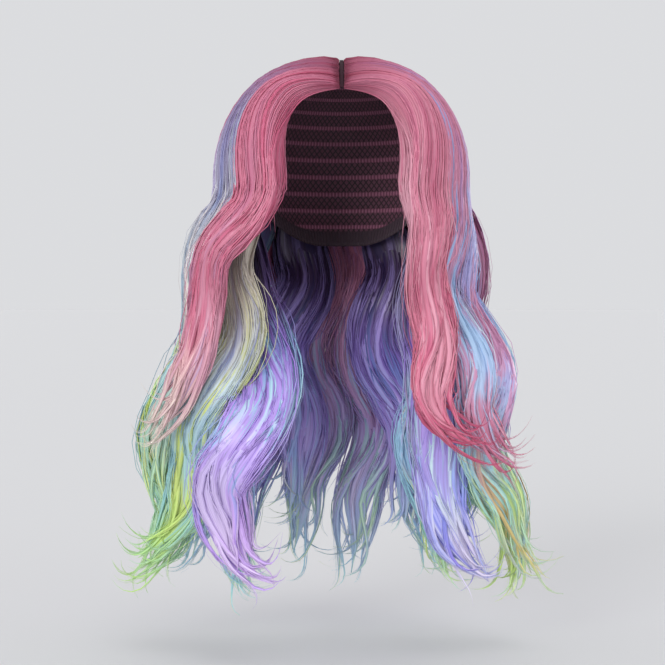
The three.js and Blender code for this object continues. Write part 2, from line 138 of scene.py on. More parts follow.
# Patterns, in metres of the hair or net that they lie on
PATTERN_ROUND = 0.13  # hair round a lock
PATTERN_BACK = 0.28  # hair from the face to the back of the head
DYE_LENGTH = 0.45  # of a usual lock, along which the crown strands' dye runs
CROWN_DYE_SHARE = 0.35  # of the dye's run that the crown pad takes up
FIBRE_BAND = 1.1 * MM  # width of a band of fibres that lie together; single fibres of 0.08 mm don't show
FIBRE_RUN = 110 * MM
STREAK_BAND = 9 * MM  # width of a dyed streak
STREAK_RUN = 200 * MM
# Brightness of each band of fibres: partly random from band to band, partly painted shade, since the same
# noise is the bump's height and the lowest bands are darkest.
FIBRE_TONES_AND_TROUGH_SHADE = {0.28: "DAD5DA", 0.5: "F8F6F8", 0.7: "FFFFFF"}  # from one band of fibres to the next
PAINTED_ROOT_SHADE = {0: "B08A9A", 0.04: "D2BAC5", 0.12: "FFFFFF"}  # painted shade: darker near the roots, where the hair lies close to the cap and the parting
HEAD_REACH = 90 * MM  # from the middle of the head to the net, by which the net's pattern is measured
NET_CELL = 2 * np.pi * HEAD_REACH / 96  # drawn coarser than the 1.5 mm cells of the real net
STITCH = 2 * np.pi * HEAD_REACH / 160
RIB = 1.2 * MM  # of the ribbon, drawn coarser than the real 0.4 mm

# Camera and floor
FRAME_FILLED = 0.84  # share of the frame's height that the wig fills
VIEW_RAISED = 0.02  # how far above the wig's middle the camera stands, as a share of its distance
FLOOR_BELOW = 35 * MM  # below the lowest solid tip

# Azimuth from the face and reach down from the crown, in degrees
CAP_EDGE = [(0, 44), (24, 46), (35, 54), (45, 77), (64, 106), (88, 97), (118, 108), (152, 122), (180, 124)]
# How far below the crown each level lies, as a share of HAIR_FALL
LEVELS = {"mouth": 0.36, "chin": 0.47, "shoulder": 0.58, "chest": 0.7, "bust": 0.83, "hem": 0.96}

HANGING_COLUMNS = "mouth chin shoulder chest bust hem lies layer width fall curl wave phase"
TOP_COLUMNS = f"name start stop {HANGING_COLUMNS}".split()
TOP_LOCKS = [
    ["front_left", 0.0, 0.15, 0.86, 1.1, 1.26, 1.38, 1.48, 1.48, "front", 0, 0.84, 0.56, 35, 0.9, 0.05],
    ["temple_left", 0.15, 0.3, 1.05, 1.17, 1.23, 1.3, 1.38, 1.44, "front", 2.4, 0.88, 0.7, -25, 0.9, 0.08],
    ["side_left", 0.3, 0.47, 1.08, 1.18, 1.25, 1.32, 1.42, 1.52, "front", 3.6, 0.96, 0.84, 60, 0.9, 0.08],
    ["ear_left", 0.47, 0.64, 0.99, 0.99, 1.0, 1.02, 1.04, 1.03, "back", -2.7, 1, 0.8, 20, 0.9, 0.12],
    ["back_left", 0.64, 0.82, 0.71, 0.71, 0.73, 0.75, 0.77, 0.75, "back", -0.5, 1.04, 0.84, -15, 0.9, 0.1],
    ["middle_left", 0.82, 0.995, 0.24, 0.235, 0.235, 0.235, 0.24, 0.25, "back", 0, 1, 0.8, 20, 0.9, 0.1],
    ["front_right", 0.0, 0.15, 0.7, 0.66, 0.61, 0.82, 1.15, 1.35, "front", -0.4, 0.76, 0.6, 75, 0.7, 0.14],
    ["temple_right", 0.15, 0.3, 0.84, 0.85, 0.94, 1.08, 1.22, 1.3, "front", 1, 0.84, 0.62, 40, 0.8, 0.1],
    ["side_right", 0.3, 0.47, 0.98, 1.08, 1.1, 1.17, 1.26, 1.34, "front", 2.2, 0.92, 0.82, 25, 1, 0.06],
    ["ear_right", 0.47, 0.64, 0.99, 0.99, 1.0, 1.02, 1.04, 1.03, "back", -2.7, 1, 0.81, -20, 0.9, 0.1],
    ["back_right", 0.64, 0.82, 0.71, 0.71, 0.73, 0.75, 0.77, 0.75, "back", -0.5, 1.04, 0.81, 18, 0.9, 0.1],
    ["middle_right", 0.82, 0.995, 0.24, 0.235, 0.235, 0.235, 0.24, 0.25, "back", 0, 1, 0.84, -12, 0.9, 0.1],
]
UNDER_COLUMNS = f"name seam {HANGING_COLUMNS}".split()
UNDER_LOCKS = [
    ["cream_left", 66, 0.79, 0.83, 0.96, 1.05, 1.32, 1.46, "front", 1.1, 0.88, 0.8, 35, 0.9, 0.08],
    ["blue_left", 121, 0.75, 0.75, 0.76, 0.83, 0.92, 0.92, "front", 2.4, 0.88, 0.82, -20, 0.9, 0.08],
    ["violet_left", 93, 0.66, 0.6, 0.66, 0.76, 0.84, 0.8, "front", 0, 1.06, 0.84, -98, 1, 0.82],
    ["nape_left", 152, 0.37, 0.37, 0.41, 0.45, 0.47, 0.47, "back", -1.8, 1, 0.7, 10, 0.9, 0.1],
    ["blue_right", 118, 0.72, 0.7, 0.68, 0.68, 0.7, 0.74, "front", 4.4, 0.8, 0.8, 20, 0.8, 0.06],
    ["mint_right", 92, 0.84, 0.9, 1.06, 1.16, 1.27, 1.32, "front", 4.4, 0.88, 0.84, -25, 1, 0.06],
    ["violet_right", 66, 0.68, 0.64, 0.66, 0.8, 0.76, 1.02, "front", 3.3, 0.96, 0.84, 45, 0.5, 0.06],
    ["nape_right", 152, 0.37, 0.37, 0.41, 0.45, 0.47, 0.47, "back", -1.8, 1, 0.72, -10, 0.9, 0.1],
]

# Dyes. Colour runs from root to tip, as shares of the length with sRGB colours: the main dye,
# then its wide streaks and its narrow ones.
DYES = {
    "rose_pink": (
        {0: "D6829C", 0.5: "D47892", 1: "D06C8A"},
        {0: "C8587A", 0.5: "E8A2B6", 1: "CC5E80"},
        {0: "C8708E", 0.5: "C46486", 1: "C46486"},
    ),
    "pink_to_cream": (
        {0: "D6829C", 0.35: "D87C98", 0.6: "D4869E", 0.78: "D49CB0", 0.92: "E8CCCA", 1: "F0E6D6"},
        {0: "C8587A", 0.45: "D4688A", 0.7: "D67290", 0.85: "F2D6D0", 1: "EAF2D8"},
        {0: "C8708E", 0.4: "CC7A98", 0.65: "C490B2", 0.82: "C4A6C6", 1: "D4DCC6"},
    ),
    "silver_to_mint": (
        {0: "CC7A96", 0.08: "B07294", 0.18: "8C7AA2", 0.32: "9C98B6",
         0.5: "C6CDD2", 0.68: "C2DCDA", 0.84: "BEE6D0", 1: "C4ECA0"},
        {0: "C8587A", 0.12: "A4608A", 0.24: "B4BCD8", 0.38: "E6E2E0",
         0.55: "EEE6DC", 0.75: "E8C4CC", 0.88: "E6EE9C", 1: "D6F07C"},
        {0: "C8708E", 0.16: "8A74A4", 0.32: "8C92C4", 0.5: "9CB4CC",
         0.7: "96C4CC", 0.86: "A2DCD6", 1: "B4E8C8"},
    ),
    "lilac_to_lime": (
        {0: "D6829C", 0.14: "C088AA", 0.28: "A496BE", 0.44: "BEC2DA",
         0.6: "B8DEDC", 0.78: "B2E6D0", 0.92: "C4ECA4", 1: "C2EC78"},
        {0: "C8587A", 0.2: "C06A90", 0.36: "A6B4DE", 0.52: "E4EEC4",
         0.66: "DCEC78", 0.84: "D4EC6C", 1: "B4E8C6"},
        {0: "C8708E", 0.2: "94789E", 0.4: "8492C6", 0.6: "8CB0C4", 0.8: "9CD2DA", 1: "C8F0A0"},
    ),
    "pink_to_sky": (
        {0: "D6829C", 0.3: "D67C98", 0.5: "D594BA", 0.7: "C4A4E0", 0.85: "B2BEEC", 1: "ADDCE0"},
        {0: "C8587A", 0.4: "C98AC0", 0.65: "A6CAEC", 0.85: "C2E8CC", 1: "E0EFA4"},
        {0: "C8708E", 0.4: "C078A4", 0.6: "A690DC", 0.8: "DCC8F0", 1: "A2D2EC"},
    ),
    "rose_to_blue": (
        {0: "CE7492", 0.35: "CA6486", 0.55: "C68CC2", 0.75: "AE96E4", 0.9: "9CBAEE", 1: "A8E0DC"},
        {0: "DE9CB2", 0.5: "DC8AA5", 0.75: "A6CEF0", 1: "DCF096"},
        {0: "C8708E", 0.4: "B4648C", 0.6: "9A80D4", 0.8: "D8C4F0", 1: "B8E8C8"},
    ),
    "pink_to_rose": (
        {0: "D6829C", 0.5: "DC88A0", 0.8: "DA7290", 1: "CE5078"},
        {0: "C8587A", 0.4: "EAAFBF", 0.8: "E69BB0", 1: "DC7A98"},
        {0: "C8708E", 0.4: "CC6C8A", 0.8: "C85C80", 1: "C04470"},
    ),
    "pink_with_blue": (
        {0: "D6829C", 0.3: "D286A4", 0.5: "CE94B6", 0.68: "C4A0CC",
         0.82: "D08CAC", 0.92: "DA7A98", 1: "CE5A80"},
        {0: "C8587A", 0.18: "A9A4D8", 0.4: "8FB6EA", 0.7: "A6D0F2", 0.85: "BCD0F0", 1: "DC8AA5"},
        {0: "C8708E", 0.25: "C47CA4", 0.5: "AE9EDC", 0.7: "C8E0EE", 0.88: "E8A6BC", 1: "C85C80"},
    ),
    "lavender_to_mint": (
        {0: "D6829C", 0.2: "BE94C2", 0.4: "AFB2E6", 0.58: "BEAAE6",
         0.74: "A8D0E8", 0.88: "B2E6D6", 1: "CCECB4"},
        {0: "C8587A", 0.3: "DC9AB5", 0.5: "DE94B4", 0.68: "D9A4CE", 0.84: "CBA868", 1: "E4D682"},
        {0: "C8708E", 0.3: "9AA0DC", 0.5: "94C4EE", 0.7: "C8E6EC", 0.86: "D8EE84", 1: "C4B4EC"},
    ),
    # The under locks' dyes: each run starts near black at the root. This is painted shade where these locks
    # lie under the top hair; in the violet runs the shade reaches about a quarter of the length.
    "cream_to_lime": (
        {0: "4A3040", 0.1: "BCB8A6", 0.26: "E0DCCA", 0.42: "C4CED2",
         0.56: "B6D6E2", 0.72: "B2E2DA", 0.88: "BCEABE", 1: "BEEE82"},
        {0: "4A3040", 0.22: "F2EADA", 0.4: "DCE49C", 0.55: "D8E674",
         0.78: "D0E672", 0.92: "C8EE84", 1: "BEEACC"},
        {0: "4A3040", 0.22: "C4BCC2", 0.42: "8C98C6", 0.6: "88ACC2", 0.8: "92D0D6", 1: "C8F29A"},
    ),
    "slate_to_aqua": (
        {0: "35283C", 0.15: "6C86B0", 0.4: "9ABCE2", 0.6: "A6DAEE", 0.8: "A4C4EC", 1: "B0E6E2"},
        {0: "35283C", 0.3: "A9E0E6", 0.6: "CCF0EC", 0.8: "A0ACE4", 1: "DCF09C"},
        {0: "35283C", 0.3: "7C76B4", 0.6: "B4A0E6", 0.8: "D4EE8C", 1: "BCE8F0"},
    ),
    "shade_to_violet": (
        {0: "2E2233", 0.2: "43304F", 0.32: "8A6CC6", 0.48: "B294E8",
         0.66: "C2A8F0", 0.82: "CEACEE", 1: "DCC0F4"},
        {0: "2E2233", 0.28: "5A4380", 0.4: "96CCE8", 0.5: "B8E6F0",
         0.62: "D0C0F6", 0.76: "DCCCF6", 0.88: "E2CEF4", 1: "EADCFA"},
        {0: "2E2233", 0.28: "4A3A6C", 0.42: "7A92D0", 0.56: "9CDCE8",
         0.7: "A8B8F4", 0.84: "B894EA", 1: "CDAEF4"},
    ),
    "shade_to_sky": (
        {0: "2E2233", 0.25: "4B3560", 0.5: "9276D0", 0.75: "B49CE8", 1: "ACC6EE"},
        {0: "2E2233", 0.4: "BBA4F0", 0.8: "9CB6EC", 1: "BEE8DE"},
        {0: "2E2233", 0.3: "3E3468", 0.55: "7C8CD8", 0.8: "C8B4F0", 1: "D4F0B0"},
    ),
    "sky_with_lime": (
        {0: "4A3A50", 0.2: "8AB0DA", 0.45: "A4D0F0", 0.7: "A8D6F0", 0.85: "AAE6E4", 1: "D0F0A6"},
        {0: "4A3A50", 0.3: "CCE27A", 0.5: "DFF298", 0.66: "C8B4EE",
         0.8: "D8EC74", 0.92: "D4EC7C", 1: "B4E6D8"},
        {0: "4A3A50", 0.3: "7C8CCC", 0.55: "8AA4E8", 0.75: "D2EEF2", 1: "E2F4A0"},
    ),
    "aqua_to_lime": (
        {0: "4A3A50", 0.2: "96C4CE", 0.45: "A6DCE4", 0.7: "B4E8DC", 0.87: "CEEC8A", 1: "D4F08C"},
        {0: "4A3A50", 0.4: "C8EEE8", 0.7: "DFF4BC", 0.9: "A8D2F0", 1: "E8F4B2"},
        {0: "4A3A50", 0.3: "8C88C8", 0.55: "B8A4EC", 0.75: "C8A464", 0.85: "D4B470", 1: "C4ECC8"},
    ),
    "violet_to_blue": (
        {0: "2E2233", 0.22: "5A4380", 0.38: "A084E0", 0.56: "B69CEC",
         0.74: "B0AEF2", 0.88: "B4BEF4", 1: "C4C8F6"},
        {0: "2E2233", 0.38: "C4C0F2", 0.52: "BCE4F2", 0.68: "D2EEF2", 0.84: "E4DCF8", 1: "F0E6FC"},
        {0: "2E2233", 0.3: "6A54A4", 0.46: "D8EE80", 0.6: "B0DCEC",
         0.74: "8C9CF0", 0.88: "8C78E2", 1: "A890EC"},
    ),
}
# The dye of each lock, and a slot of the record, which the script does not read.
LOCK_FINISH = {
    "front_left": ("pink_to_cream", "hair_pink"),
    "temple_left": ("silver_to_mint", "hair_lilac"),
    "side_left": ("lilac_to_lime", "hair_mint"),
    "ear_left": ("pink_to_sky", "hair_pink"),
    "back_left": ("rose_to_blue", "hair_rose"),
    "middle_left": ("pink_to_sky", "hair_pink"),
    "front_right": ("pink_to_rose", "hair_pink"),
    "temple_right": ("pink_with_blue", "hair_pink"),
    "side_right": ("lavender_to_mint", "hair_lilac"),
    "ear_right": ("pink_to_sky", "hair_pink"),
    "back_right": ("rose_to_blue", "hair_rose"),
    "middle_right": ("pink_to_sky", "hair_pink"),
    "cream_left": ("cream_to_lime", "hair_lime"),
    "blue_left": ("slate_to_aqua", "hair_sky"),
    "violet_left": ("shade_to_violet", "hair_violet"),
    "nape_left": ("shade_to_sky", "hair_violet"),
    "blue_right": ("sky_with_lime", "hair_sky"),
    "mint_right": ("aqua_to_lime", "hair_mint"),
    "violet_right": ("violet_to_blue", "hair_violet"),
    "nape_right": ("shade_to_sky", "hair_violet"),
}


def lerp(low, high, share):
    """The value at that share of the way from low to high."""
    return low + (high - low) * share


def smoothstep(value, low, high):
    """3 x squared less 2 x cubed, where x goes from 0 at low to 1 at high and stays there."""
    x = np.clip((value - low) / (high - low), 0, 1)
    return x * x * (3 - 2 * x)


def unit(vectors):
    """The vectors at length 1."""
    return vectors / np.linalg.norm(vectors, axis=-1, keepdims=True)


def direction(azimuth, reach):
    """The unit direction at an angle from the face and an angle down from the crown, both in degrees."""
    down = np.asarray(reach, float) * DEGREE
    around = np.asarray(azimuth, float) * DEGREE
    down, around = np.broadcast_arrays(down, around)
    return np.stack([np.sin(down) * np.sin(around), -np.sin(down) * np.cos(around), np.cos(down)], -1)


def above_head(dirs, height):
    """The point in a direction at a height above the cap's inner skin: an ellipsoid grown by that height."""
    radii = np.array([CAP_HALF_WIDTH, CAP_HALF_LENGTH, CAP_CROWN]) + np.asarray(height)[..., None]
    return radii * dirs - np.array([0, 0, CAP_CROWN])


def cubic(start, end, leave, arrive, w):
    """The cubic from start to end that leaves and arrives with those slopes, at share w of its stretch."""
    square = -3 * start + 3 * end - 2 * leave - arrive
    cube = 2 * start - 2 * end + leave + arrive
    return start + leave * w + square * w**2 + cube * w**3


def centripetal(control, at):
    """Points on the centripetal Catmull-Rom curve through control, shape (knots, points, axes), at shares at.
    Each stretch is the cubic that leaves and arrives with the slopes of the chords' square roots."""
    ends = [2 * control[:1] - control[1:2], control, 2 * control[-1:] - control[-2:-1]]
    knots = np.concatenate(ends)
    place = at * (len(control) - 1)
    low = np.clip(np.floor(place).astype(int), 0, len(control) - 2)
    w = (place - low)[:, None]
    each = np.arange(len(at))
    p0, p1, p2, p3 = (knots[low + i, each] for i in range(4))
    pairs = ((p0, p1), (p1, p2), (p2, p3))
    d0, d1, d2 = (np.sqrt(np.linalg.norm(b - a, axis=1, keepdims=True)) for a, b in pairs)
    leave = ((p1 - p0) / d0 - (p2 - p0) / (d0 + d1) + (p2 - p1) / d1) * d1
    arrive = ((p2 - p1) / d1 - (p3 - p1) / (d1 + d2) + (p3 - p2) / d2) * d1
    return cubic(p1, p2, leave, arrive, w)


def crown_flow(side, s, t):
    """The direction at share s from the face to the back and share t from the parting to the ears, on the
    curve through the parting, the brow and the ear level."""
    s, t = np.broadcast_arrays(np.asarray(s, float), np.asarray(t, float))
    flat = s.ravel()
    root = direction(np.zeros_like(flat), lerp(PART_FRONT, -PART_BACK, flat))
    brow = direction(side * lerp(BROW_EDGE, 180, flat), lerp(BROW_FRONT, BROW_BACK, flat))
    ear = direction(side * lerp(FACE_EDGE, 180, flat), EAR_LEVEL)
    dirs = centripetal(np.stack([root, brow, ear]), t.ravel())
    return unit(dirs).reshape(s.shape + (3,))


def towards_ear(dirs):
    """1 less the square of the direction's height: 0 at the crown and 1 at the widest level."""
    return 1 - np.maximum(0, dirs[..., 2]) ** 2


def crown_thickness(dirs):
    """Thickness of the crown hair, which grows towards the ears."""
    return lerp(CROWN_TOP, CROWN_SIDE, towards_ear(dirs))


def on_axis(values, at, known):
    """Each column of values, known at the given places, read off linearly at other places."""
    return np.stack([np.interp(at, known, values[:, i]) for i in range(values.shape[1])], -1)


def run_length(line):
    """The length along a line to each of its points."""
    return np.concatenate([[0], np.cumsum(np.linalg.norm(np.diff(line, axis=0), axis=1))])


def kept_clear(points, side, clear):
    """Moves points of one side aside where they are nearer than clear to the middle of the parting."""
    points[..., 0] = side * np.maximum(clear, side * points[..., 0])


def risen(at):
    """The share of the hair's full height at a distance from the parting: a low step and then a slow rise."""
    step = np.sqrt(1 - (1 - np.clip(at / (3 * MM), 0, 1)) ** 2)
    slow = 1 - (1 - np.clip(at / RISE, 0, 1)) ** 1.7
    return 0.06 * step + 0.94 * slow


def along_strand(begins, ends, rings):
    """Lengths of a strand's rings, which lie closer together at both ends, where it bends most, and closest
    at the rolled tip: a share less part of a sine of its full turn, plus part of it times what is left."""
    share = np.linspace(0, 1, rings)[None]
    share = share - 0.35 * np.sin(2 * np.pi * share) / (2 * np.pi) + 0.15 * share * (1 - share)
    return lerp(begins, ends, share)


def oval(angle, reach, power):
    """The point of a squared oval: the cosine and sine of the angle, each to a power, times the reach."""
    across = np.sign(np.cos(angle)) * np.abs(np.cos(angle)) ** power
    out = np.sign(np.sin(angle)) * np.abs(np.sin(angle)) ** power
    return reach * across, reach * out


class Lock:
    """One lock of hair: its middle line over the head and down to the tip, and its section along that line.
    A place in it is a, across from -1 at the face's side to 1, b, outwards from -1 to 1, and the length at
    from the root."""

    def __init__(self, row):
        self.row = row
        self.side = -1 if row["name"].endswith("left") else 1
        self.top = "seam" not in row
        share = np.linspace(0, 1, 41)
        self.head_share = share
        if self.top:
            middle = (row["start"] + row["stop"]) / 2
            t = lerp(LOCK_START, 1, share)
            dirs = crown_flow(self.side, np.full_like(t, middle), t)
            self.half = lerp(LOCK_TOP, LOCK_SIDE, towards_ear(dirs)) / 2
            self.seat = CROWN_SEAT + crown_thickness(dirs) + LOCK_SEAT + self.half
            edges = [above_head(crown_flow(self.side, row[end], t), self.seat) for end in ("start", "stop")]
            span = np.linalg.norm(edges[1] - edges[0], axis=-1)
            self.filled = (span - LOCK_SPLIT) / span
        else:
            dirs = direction(self.side * row["seam"], lerp(0, UNDER_SEAM, share) + EAR_LEVEL + UNDER_DROP)
            self.half = np.full_like(share, (CROWN_SIDE - PIECE_GAP) / 2)
            self.seat = CAP_WALL + self.half
            self.filled = np.ones_like(share)
        self.set_path(above_head(dirs, self.seat))

    def set_path(self, on_head):
        """The middle line: the points on the head and a point for each level, swung sideways and outwards by
        a sine and a cosine of the height, and then an arc that turns the end."""
        row = self.row
        leaves = on_head[-1]
        points = [on_head[0], *on_head[5::5]] if self.top else [on_head[0], on_head[20], leaves]
        for level, down in LEVELS.items():
            across = self.side * row[level] * HAIR_HALF_WIDTH
            settled = smoothstep(down, SETTLE_FROM, SETTLE_TO)
            points.append([across, lerp(leaves[1], self.lie(across), settled), -down * HAIR_FALL])
        fine = np.linspace(0, 1, 1600)
        control = np.repeat(np.array(points)[:, None], len(fine), 1)
        line = centripetal(control, fine)
        length = run_length(line)
        knots_on_head = len(points) - len(LEVELS) - 1
        self.head_length = np.interp(knots_on_head / (len(points) - 1), fine, length)
        ends = length[np.argmax(-line[:, 2] >= row["fall"] * HAIR_FALL)]
        hanging = np.linspace(self.head_length, ends, 1 + int((ends - self.head_length) / PATH_STEP))
        middle = on_axis(line, hanging, length)
        along = unit(np.gradient(middle, axis=0))
        settled = smoothstep(-middle[:, 2] / HAIR_FALL, SETTLE_FROM, SETTLE_TO)
        out = lerp(unit(middle * [1, 1, 0]), self.face(middle[:, 0]), settled[:, None])
        across = unit(np.cross(along, out))
        out = np.cross(across, along)
        turn = 2 * np.pi * (-middle[:, 2] / WAVE_LENGTH + row["phase"])
        share = np.linspace(0, 1, len(middle))
        grown = row["wave"] * smoothstep(share, 0, WAVE_GROWN)
        middle = middle + across * (WAVE_SIDE * grown * np.sin(turn))[:, None]
        middle = middle + out * (WAVE_OUT * grown * np.cos(turn))[:, None]
        arc_steps = int((CURL_LENGTH + OVERRUN) / PATH_STEP)
        curled = np.linspace(0, 1 + OVERRUN / CURL_LENGTH, 1 + arc_steps)[1:]
        angle = row["curl"] * DEGREE * curled[:, None]
        radius = CURL_LENGTH / (row["curl"] * DEGREE)
        aside = across[-1] * np.sign(across[-1, 0]) * self.side
        arc = middle[-1] + along[-1] * radius * np.sin(angle) + aside * radius * (1 - np.cos(angle))
        on_head_line = on_axis(line, np.arange(0, self.head_length - PATH_STEP / 2, PATH_STEP), length)
        whole = np.concatenate([on_head_line, middle, arc])
        shares = np.concatenate([np.zeros(len(on_head_line)), share, 1 + curled])
        outs = np.concatenate([unit(on_head_line + [0, 0, CAP_CROWN]), out, np.repeat(out[-1:], len(arc), 0)])
        self.middle = evened(whole)
        self.at = run_length(self.middle)
        self.head_length = self.at[len(on_head_line)]
        self.share = shares
        along = unit(np.gradient(self.middle, axis=0))
        self.across = unit(np.cross(along, evened(outs))) * -self.side
        self.out = unit(np.cross(self.across, along)) * -self.side
        self.length = np.interp(2, shares, self.at)
        loose = smoothstep(shares, 0, WIDTH_SETTLED)
        full = 1 - (1 - TIP_SHARE) * smoothstep(shares, TAPER_FROM, 2)
        edge = self.on_head(np.array([-1.0, 1.0]), np.zeros(2), np.ones(2), 0)
        first_width = np.linalg.norm(edge[1] - edge[0])
        self.half_width = lerp(first_width, row["width"] * LOCK_WIDTH, loose) * full / 2
        self.half_depth = lerp(self.half[-1] * 2, FALL_THICKNESS, loose) * full / 2

    def face(self, across):
        """The direction away from the body: the chest's, which turns to the shoulders, or the back's."""
        if self.row["lies"] == "back":
            return np.array([0.0, 1, 0])
        beyond = smoothstep(np.abs(across) / HAIR_HALF_WIDTH, CHEST_FLAT / 2, 3 * CHEST_FLAT / 2)
        lean = np.sign(across) * CHEST_ROUND * beyond
        return unit(np.stack([lean, -np.ones_like(lean), np.zeros_like(lean)], -1))

    def lie(self, across):
        """How far back the hair lies: on the chest, which falls away to the shoulders, or behind."""
        set_back = self.row["layer"] * LAYER
        if self.row["lies"] == "back":
            return CAP_HALF_LENGTH - BACK_SETBACK + set_back
        beyond = max(0, abs(across) - HAIR_HALF_WIDTH * CHEST_FLAT)
        return -(CAP_HALF_LENGTH - CHEST_SETBACK) + CHEST_ROUND * beyond + set_back

    def on_head(self, a, b, share, lift):
        """A place on the head: across the band between two lines of the flow, and outwards from its seat."""
        filled = np.interp(share, self.head_share, self.filled)
        half = np.interp(share, self.head_share, self.half)
        height = np.interp(share, self.head_share, self.seat) + half * b + lift
        if self.top:
            s = lerp(self.row["start"], self.row["stop"], 0.5 + 0.5 * filled * a)
            dirs = crown_flow(self.side, s, lerp(LOCK_START, 1, share))
            if self.row["start"] == 0:
                edge = 1 - np.sqrt(1 - np.clip((-a - 0.3) / 0.75, 0, 1) ** 2)
                edge = edge * (1 - smoothstep(share, 0.5, 0.95))
                height = lerp(height, CAP_WALL + 0.5 * MM, edge)
        else:
            spread = self.row["width"] * LOCK_WIDTH / 2 * a / CAP_HALF_LENGTH / DEGREE
            reach = EAR_LEVEL + UNDER_DROP + UNDER_SEAM * share
            dirs = direction(self.side * (self.row["seam"] + spread), reach)
        return above_head(dirs, height)

    def read(self, values, at):
        """A column of the lock's path, read off at lengths from the root."""
        return np.interp(at, self.at, values)

    def place(self, a, b, at, aside=0.0, lift=0.0, root=None):
        """Points of the lock at places a, b and at, moved aside and outwards by lengths. Near the parting the
        height rises from root as risen says, and a little below the ears the band on the head passes into
        the hanging section."""
        a, b, at, aside, lift = np.broadcast_arrays(a, b, at, aside, lift)
        share = np.clip(at / self.head_length, 0, 1)
        head = self.on_head(a, b, share, lift)
        if self.top and root is not None:
            seat, half = (np.interp(share, self.head_share, values) for values in (self.seat, self.half))
            low = self.on_head(a, b, share, root - (seat + half * b))
            head = lerp(low, head, risen(at)[..., None])
        if self.top:
            kept_clear(head, self.side, ROOT_LINE * (1 - smoothstep(at, 12 * MM, 45 * MM)))
        middle, across, out = (
            on_axis(values, at.ravel(), self.at).reshape(at.shape + (3,))
            for values in (self.middle, self.across, self.out)
        )
        width = (self.read(self.half_width, at) * a + aside)[..., None]
        depth = (self.read(self.half_depth, at) * b + lift)[..., None]
        hanging = middle + across * width + out * depth
        leaves = on_axis(self.middle, np.array([self.head_length]), self.at)[0]
        carried = head + np.where((at > self.head_length)[..., None], middle - leaves, 0)
        passed = smoothstep(at, self.head_length, self.head_length + BRIDGE)[..., None]
        return lerp(carried, hanging, passed)

    def loose(self, at):
        """0 on the head and 1 where the lock has its hanging section."""
        return smoothstep(np.interp(at, self.at, self.share), 0, WIDTH_SETTLED)


def evened(line):
    """The line with each point moved to the average of its neighbours, weighted by a bell curve. Both ends
    are first run on, turned about themselves, so that they stay."""
    reach = int(3 * PATH_SPREAD / PATH_STEP)
    offsets = np.arange(-reach, reach + 1)
    bell = np.exp(-0.5 * (offsets * PATH_STEP / PATH_SPREAD) ** 2)
    bell /= bell.sum()
    before = 2 * line[:1] - line[reach:0:-1]
    after = 2 * line[-1:] - line[-2 : -2 - reach : -1]
    long = np.concatenate([before, line, after])
    return np.stack([np.convolve(long[:, i], bell, "valid") for i in range(3)], -1)


def uv_cells(count, box, rows):
    """That many equal cells of the texture, in rows of a box: each cell's left, bottom, width and height."""
    columns = -(-count // rows)
    left, bottom, right, top = box
    width = (right - left) / columns
    height = (top - bottom) / rows
    i = np.arange(count)
    margin = 0.08
    return np.stack([
        left + (i % columns + margin) * width,
        bottom + (i // columns + 0.01) * height,
        np.full(count, (1 - 2 * margin) * width),
        np.full(count, 0.98 * height),
    ], -1)


def ring_angles(sides):
    """The angles of the points of a ring."""
    return np.arange(sides) * 2 * np.pi / sides


def closed_tubes(rings, flow, cells, zipped=False):
    """Closed surfaces through rings, shape (tubes, rows, sides, 3), each ended by a point in the middle of
    its first and last ring. A zipped one's end rings are flat and are closed along their middle instead.
    flow is every vertex's place in the hair, and cells is each tube's part of the texture."""
    tubes, rows, sides, _ = rings.shape
    points, flows = (
        np.concatenate([grid.reshape(tubes, -1, 3), grid[:, [0, -1]].mean(2)], 1) for grid in (rings, flow)
    )
    row, side = (grid.ravel() for grid in np.meshgrid(np.arange(rows - 1), np.arange(sides), indexing="ij"))
    here = row * sides + side
    beside = row * sides + (side + 1) % sides
    quads = np.stack([here, beside, beside + sides, here + sides], -1)
    u = np.stack([side, side + 1, side + 1, side], -1) / sides
    v = np.stack([row + 1, row + 1, row + 2, row + 2], -1) / (rows + 1)
    around = np.arange(sides)
    after = (around + 1) % sides
    last = (rows - 1) * sides
    first_cap = np.stack([np.full(sides, rows * sides), after, around], -1)
    last_cap = np.stack([np.full(sides, rows * sides + 1), last + around, last + after], -1)
    triangles = np.concatenate([first_cap, last_cap])
    cap_u = np.concatenate([
        np.stack([around + 0.5, around + 1, around], -1),
        np.stack([around + 0.5, around, around + 1], -1),
    ]) / sides
    near = np.tile([0, 1, 1], (sides, 1)) / (rows + 1)
    cap_v = np.concatenate([near, 1 - near])
    first = (np.arange(tubes) * points.shape[1])[:, None, None]
    quads = quads[None] + first
    triangles = triangles[None] + first
    corner, size = cells[:, None, None, :2], cells[:, None, None, 2:]
    quad_uv = corner + size * np.stack([u, v], -1)
    cap_uv = corner + size * np.stack([cap_u, cap_v], -1)
    if zipped:
        place = np.arange(points.shape[1])
        for start in (0, last):
            place[start : start + sides] = start + np.minimum(around, -around % sides)
        quads = place[quads]
        triangles, cap_uv = triangles[:, :0], cap_uv[:, :0]
    points = points.reshape(-1, 3)
    flows = flows.reshape(-1, 3)
    a, b, c, d = np.moveaxis(points[quads], 2, 0)
    volume = np.einsum("tqi,tqi->t", a, np.cross(b, c)) + np.einsum("tqi,tqi->t", a, np.cross(c, d))
    inward = volume < 0
    for faces in (quads, quad_uv, triangles, cap_uv):
        faces[inward] = faces[inward][:, :, ::-1]
    if zipped:
        used, quads = np.unique(quads, return_inverse=True)
        points, flows = points[used], flows[used]
    return {
        "points": points,
        "flow": flows,
        "quads": quads.reshape(-1, 4),
        "quad_uv": quad_uv.reshape(-1, 2),
        "triangles": triangles.reshape(-1, 3),
        "cap_uv": cap_uv.reshape(-1, 2),
    }


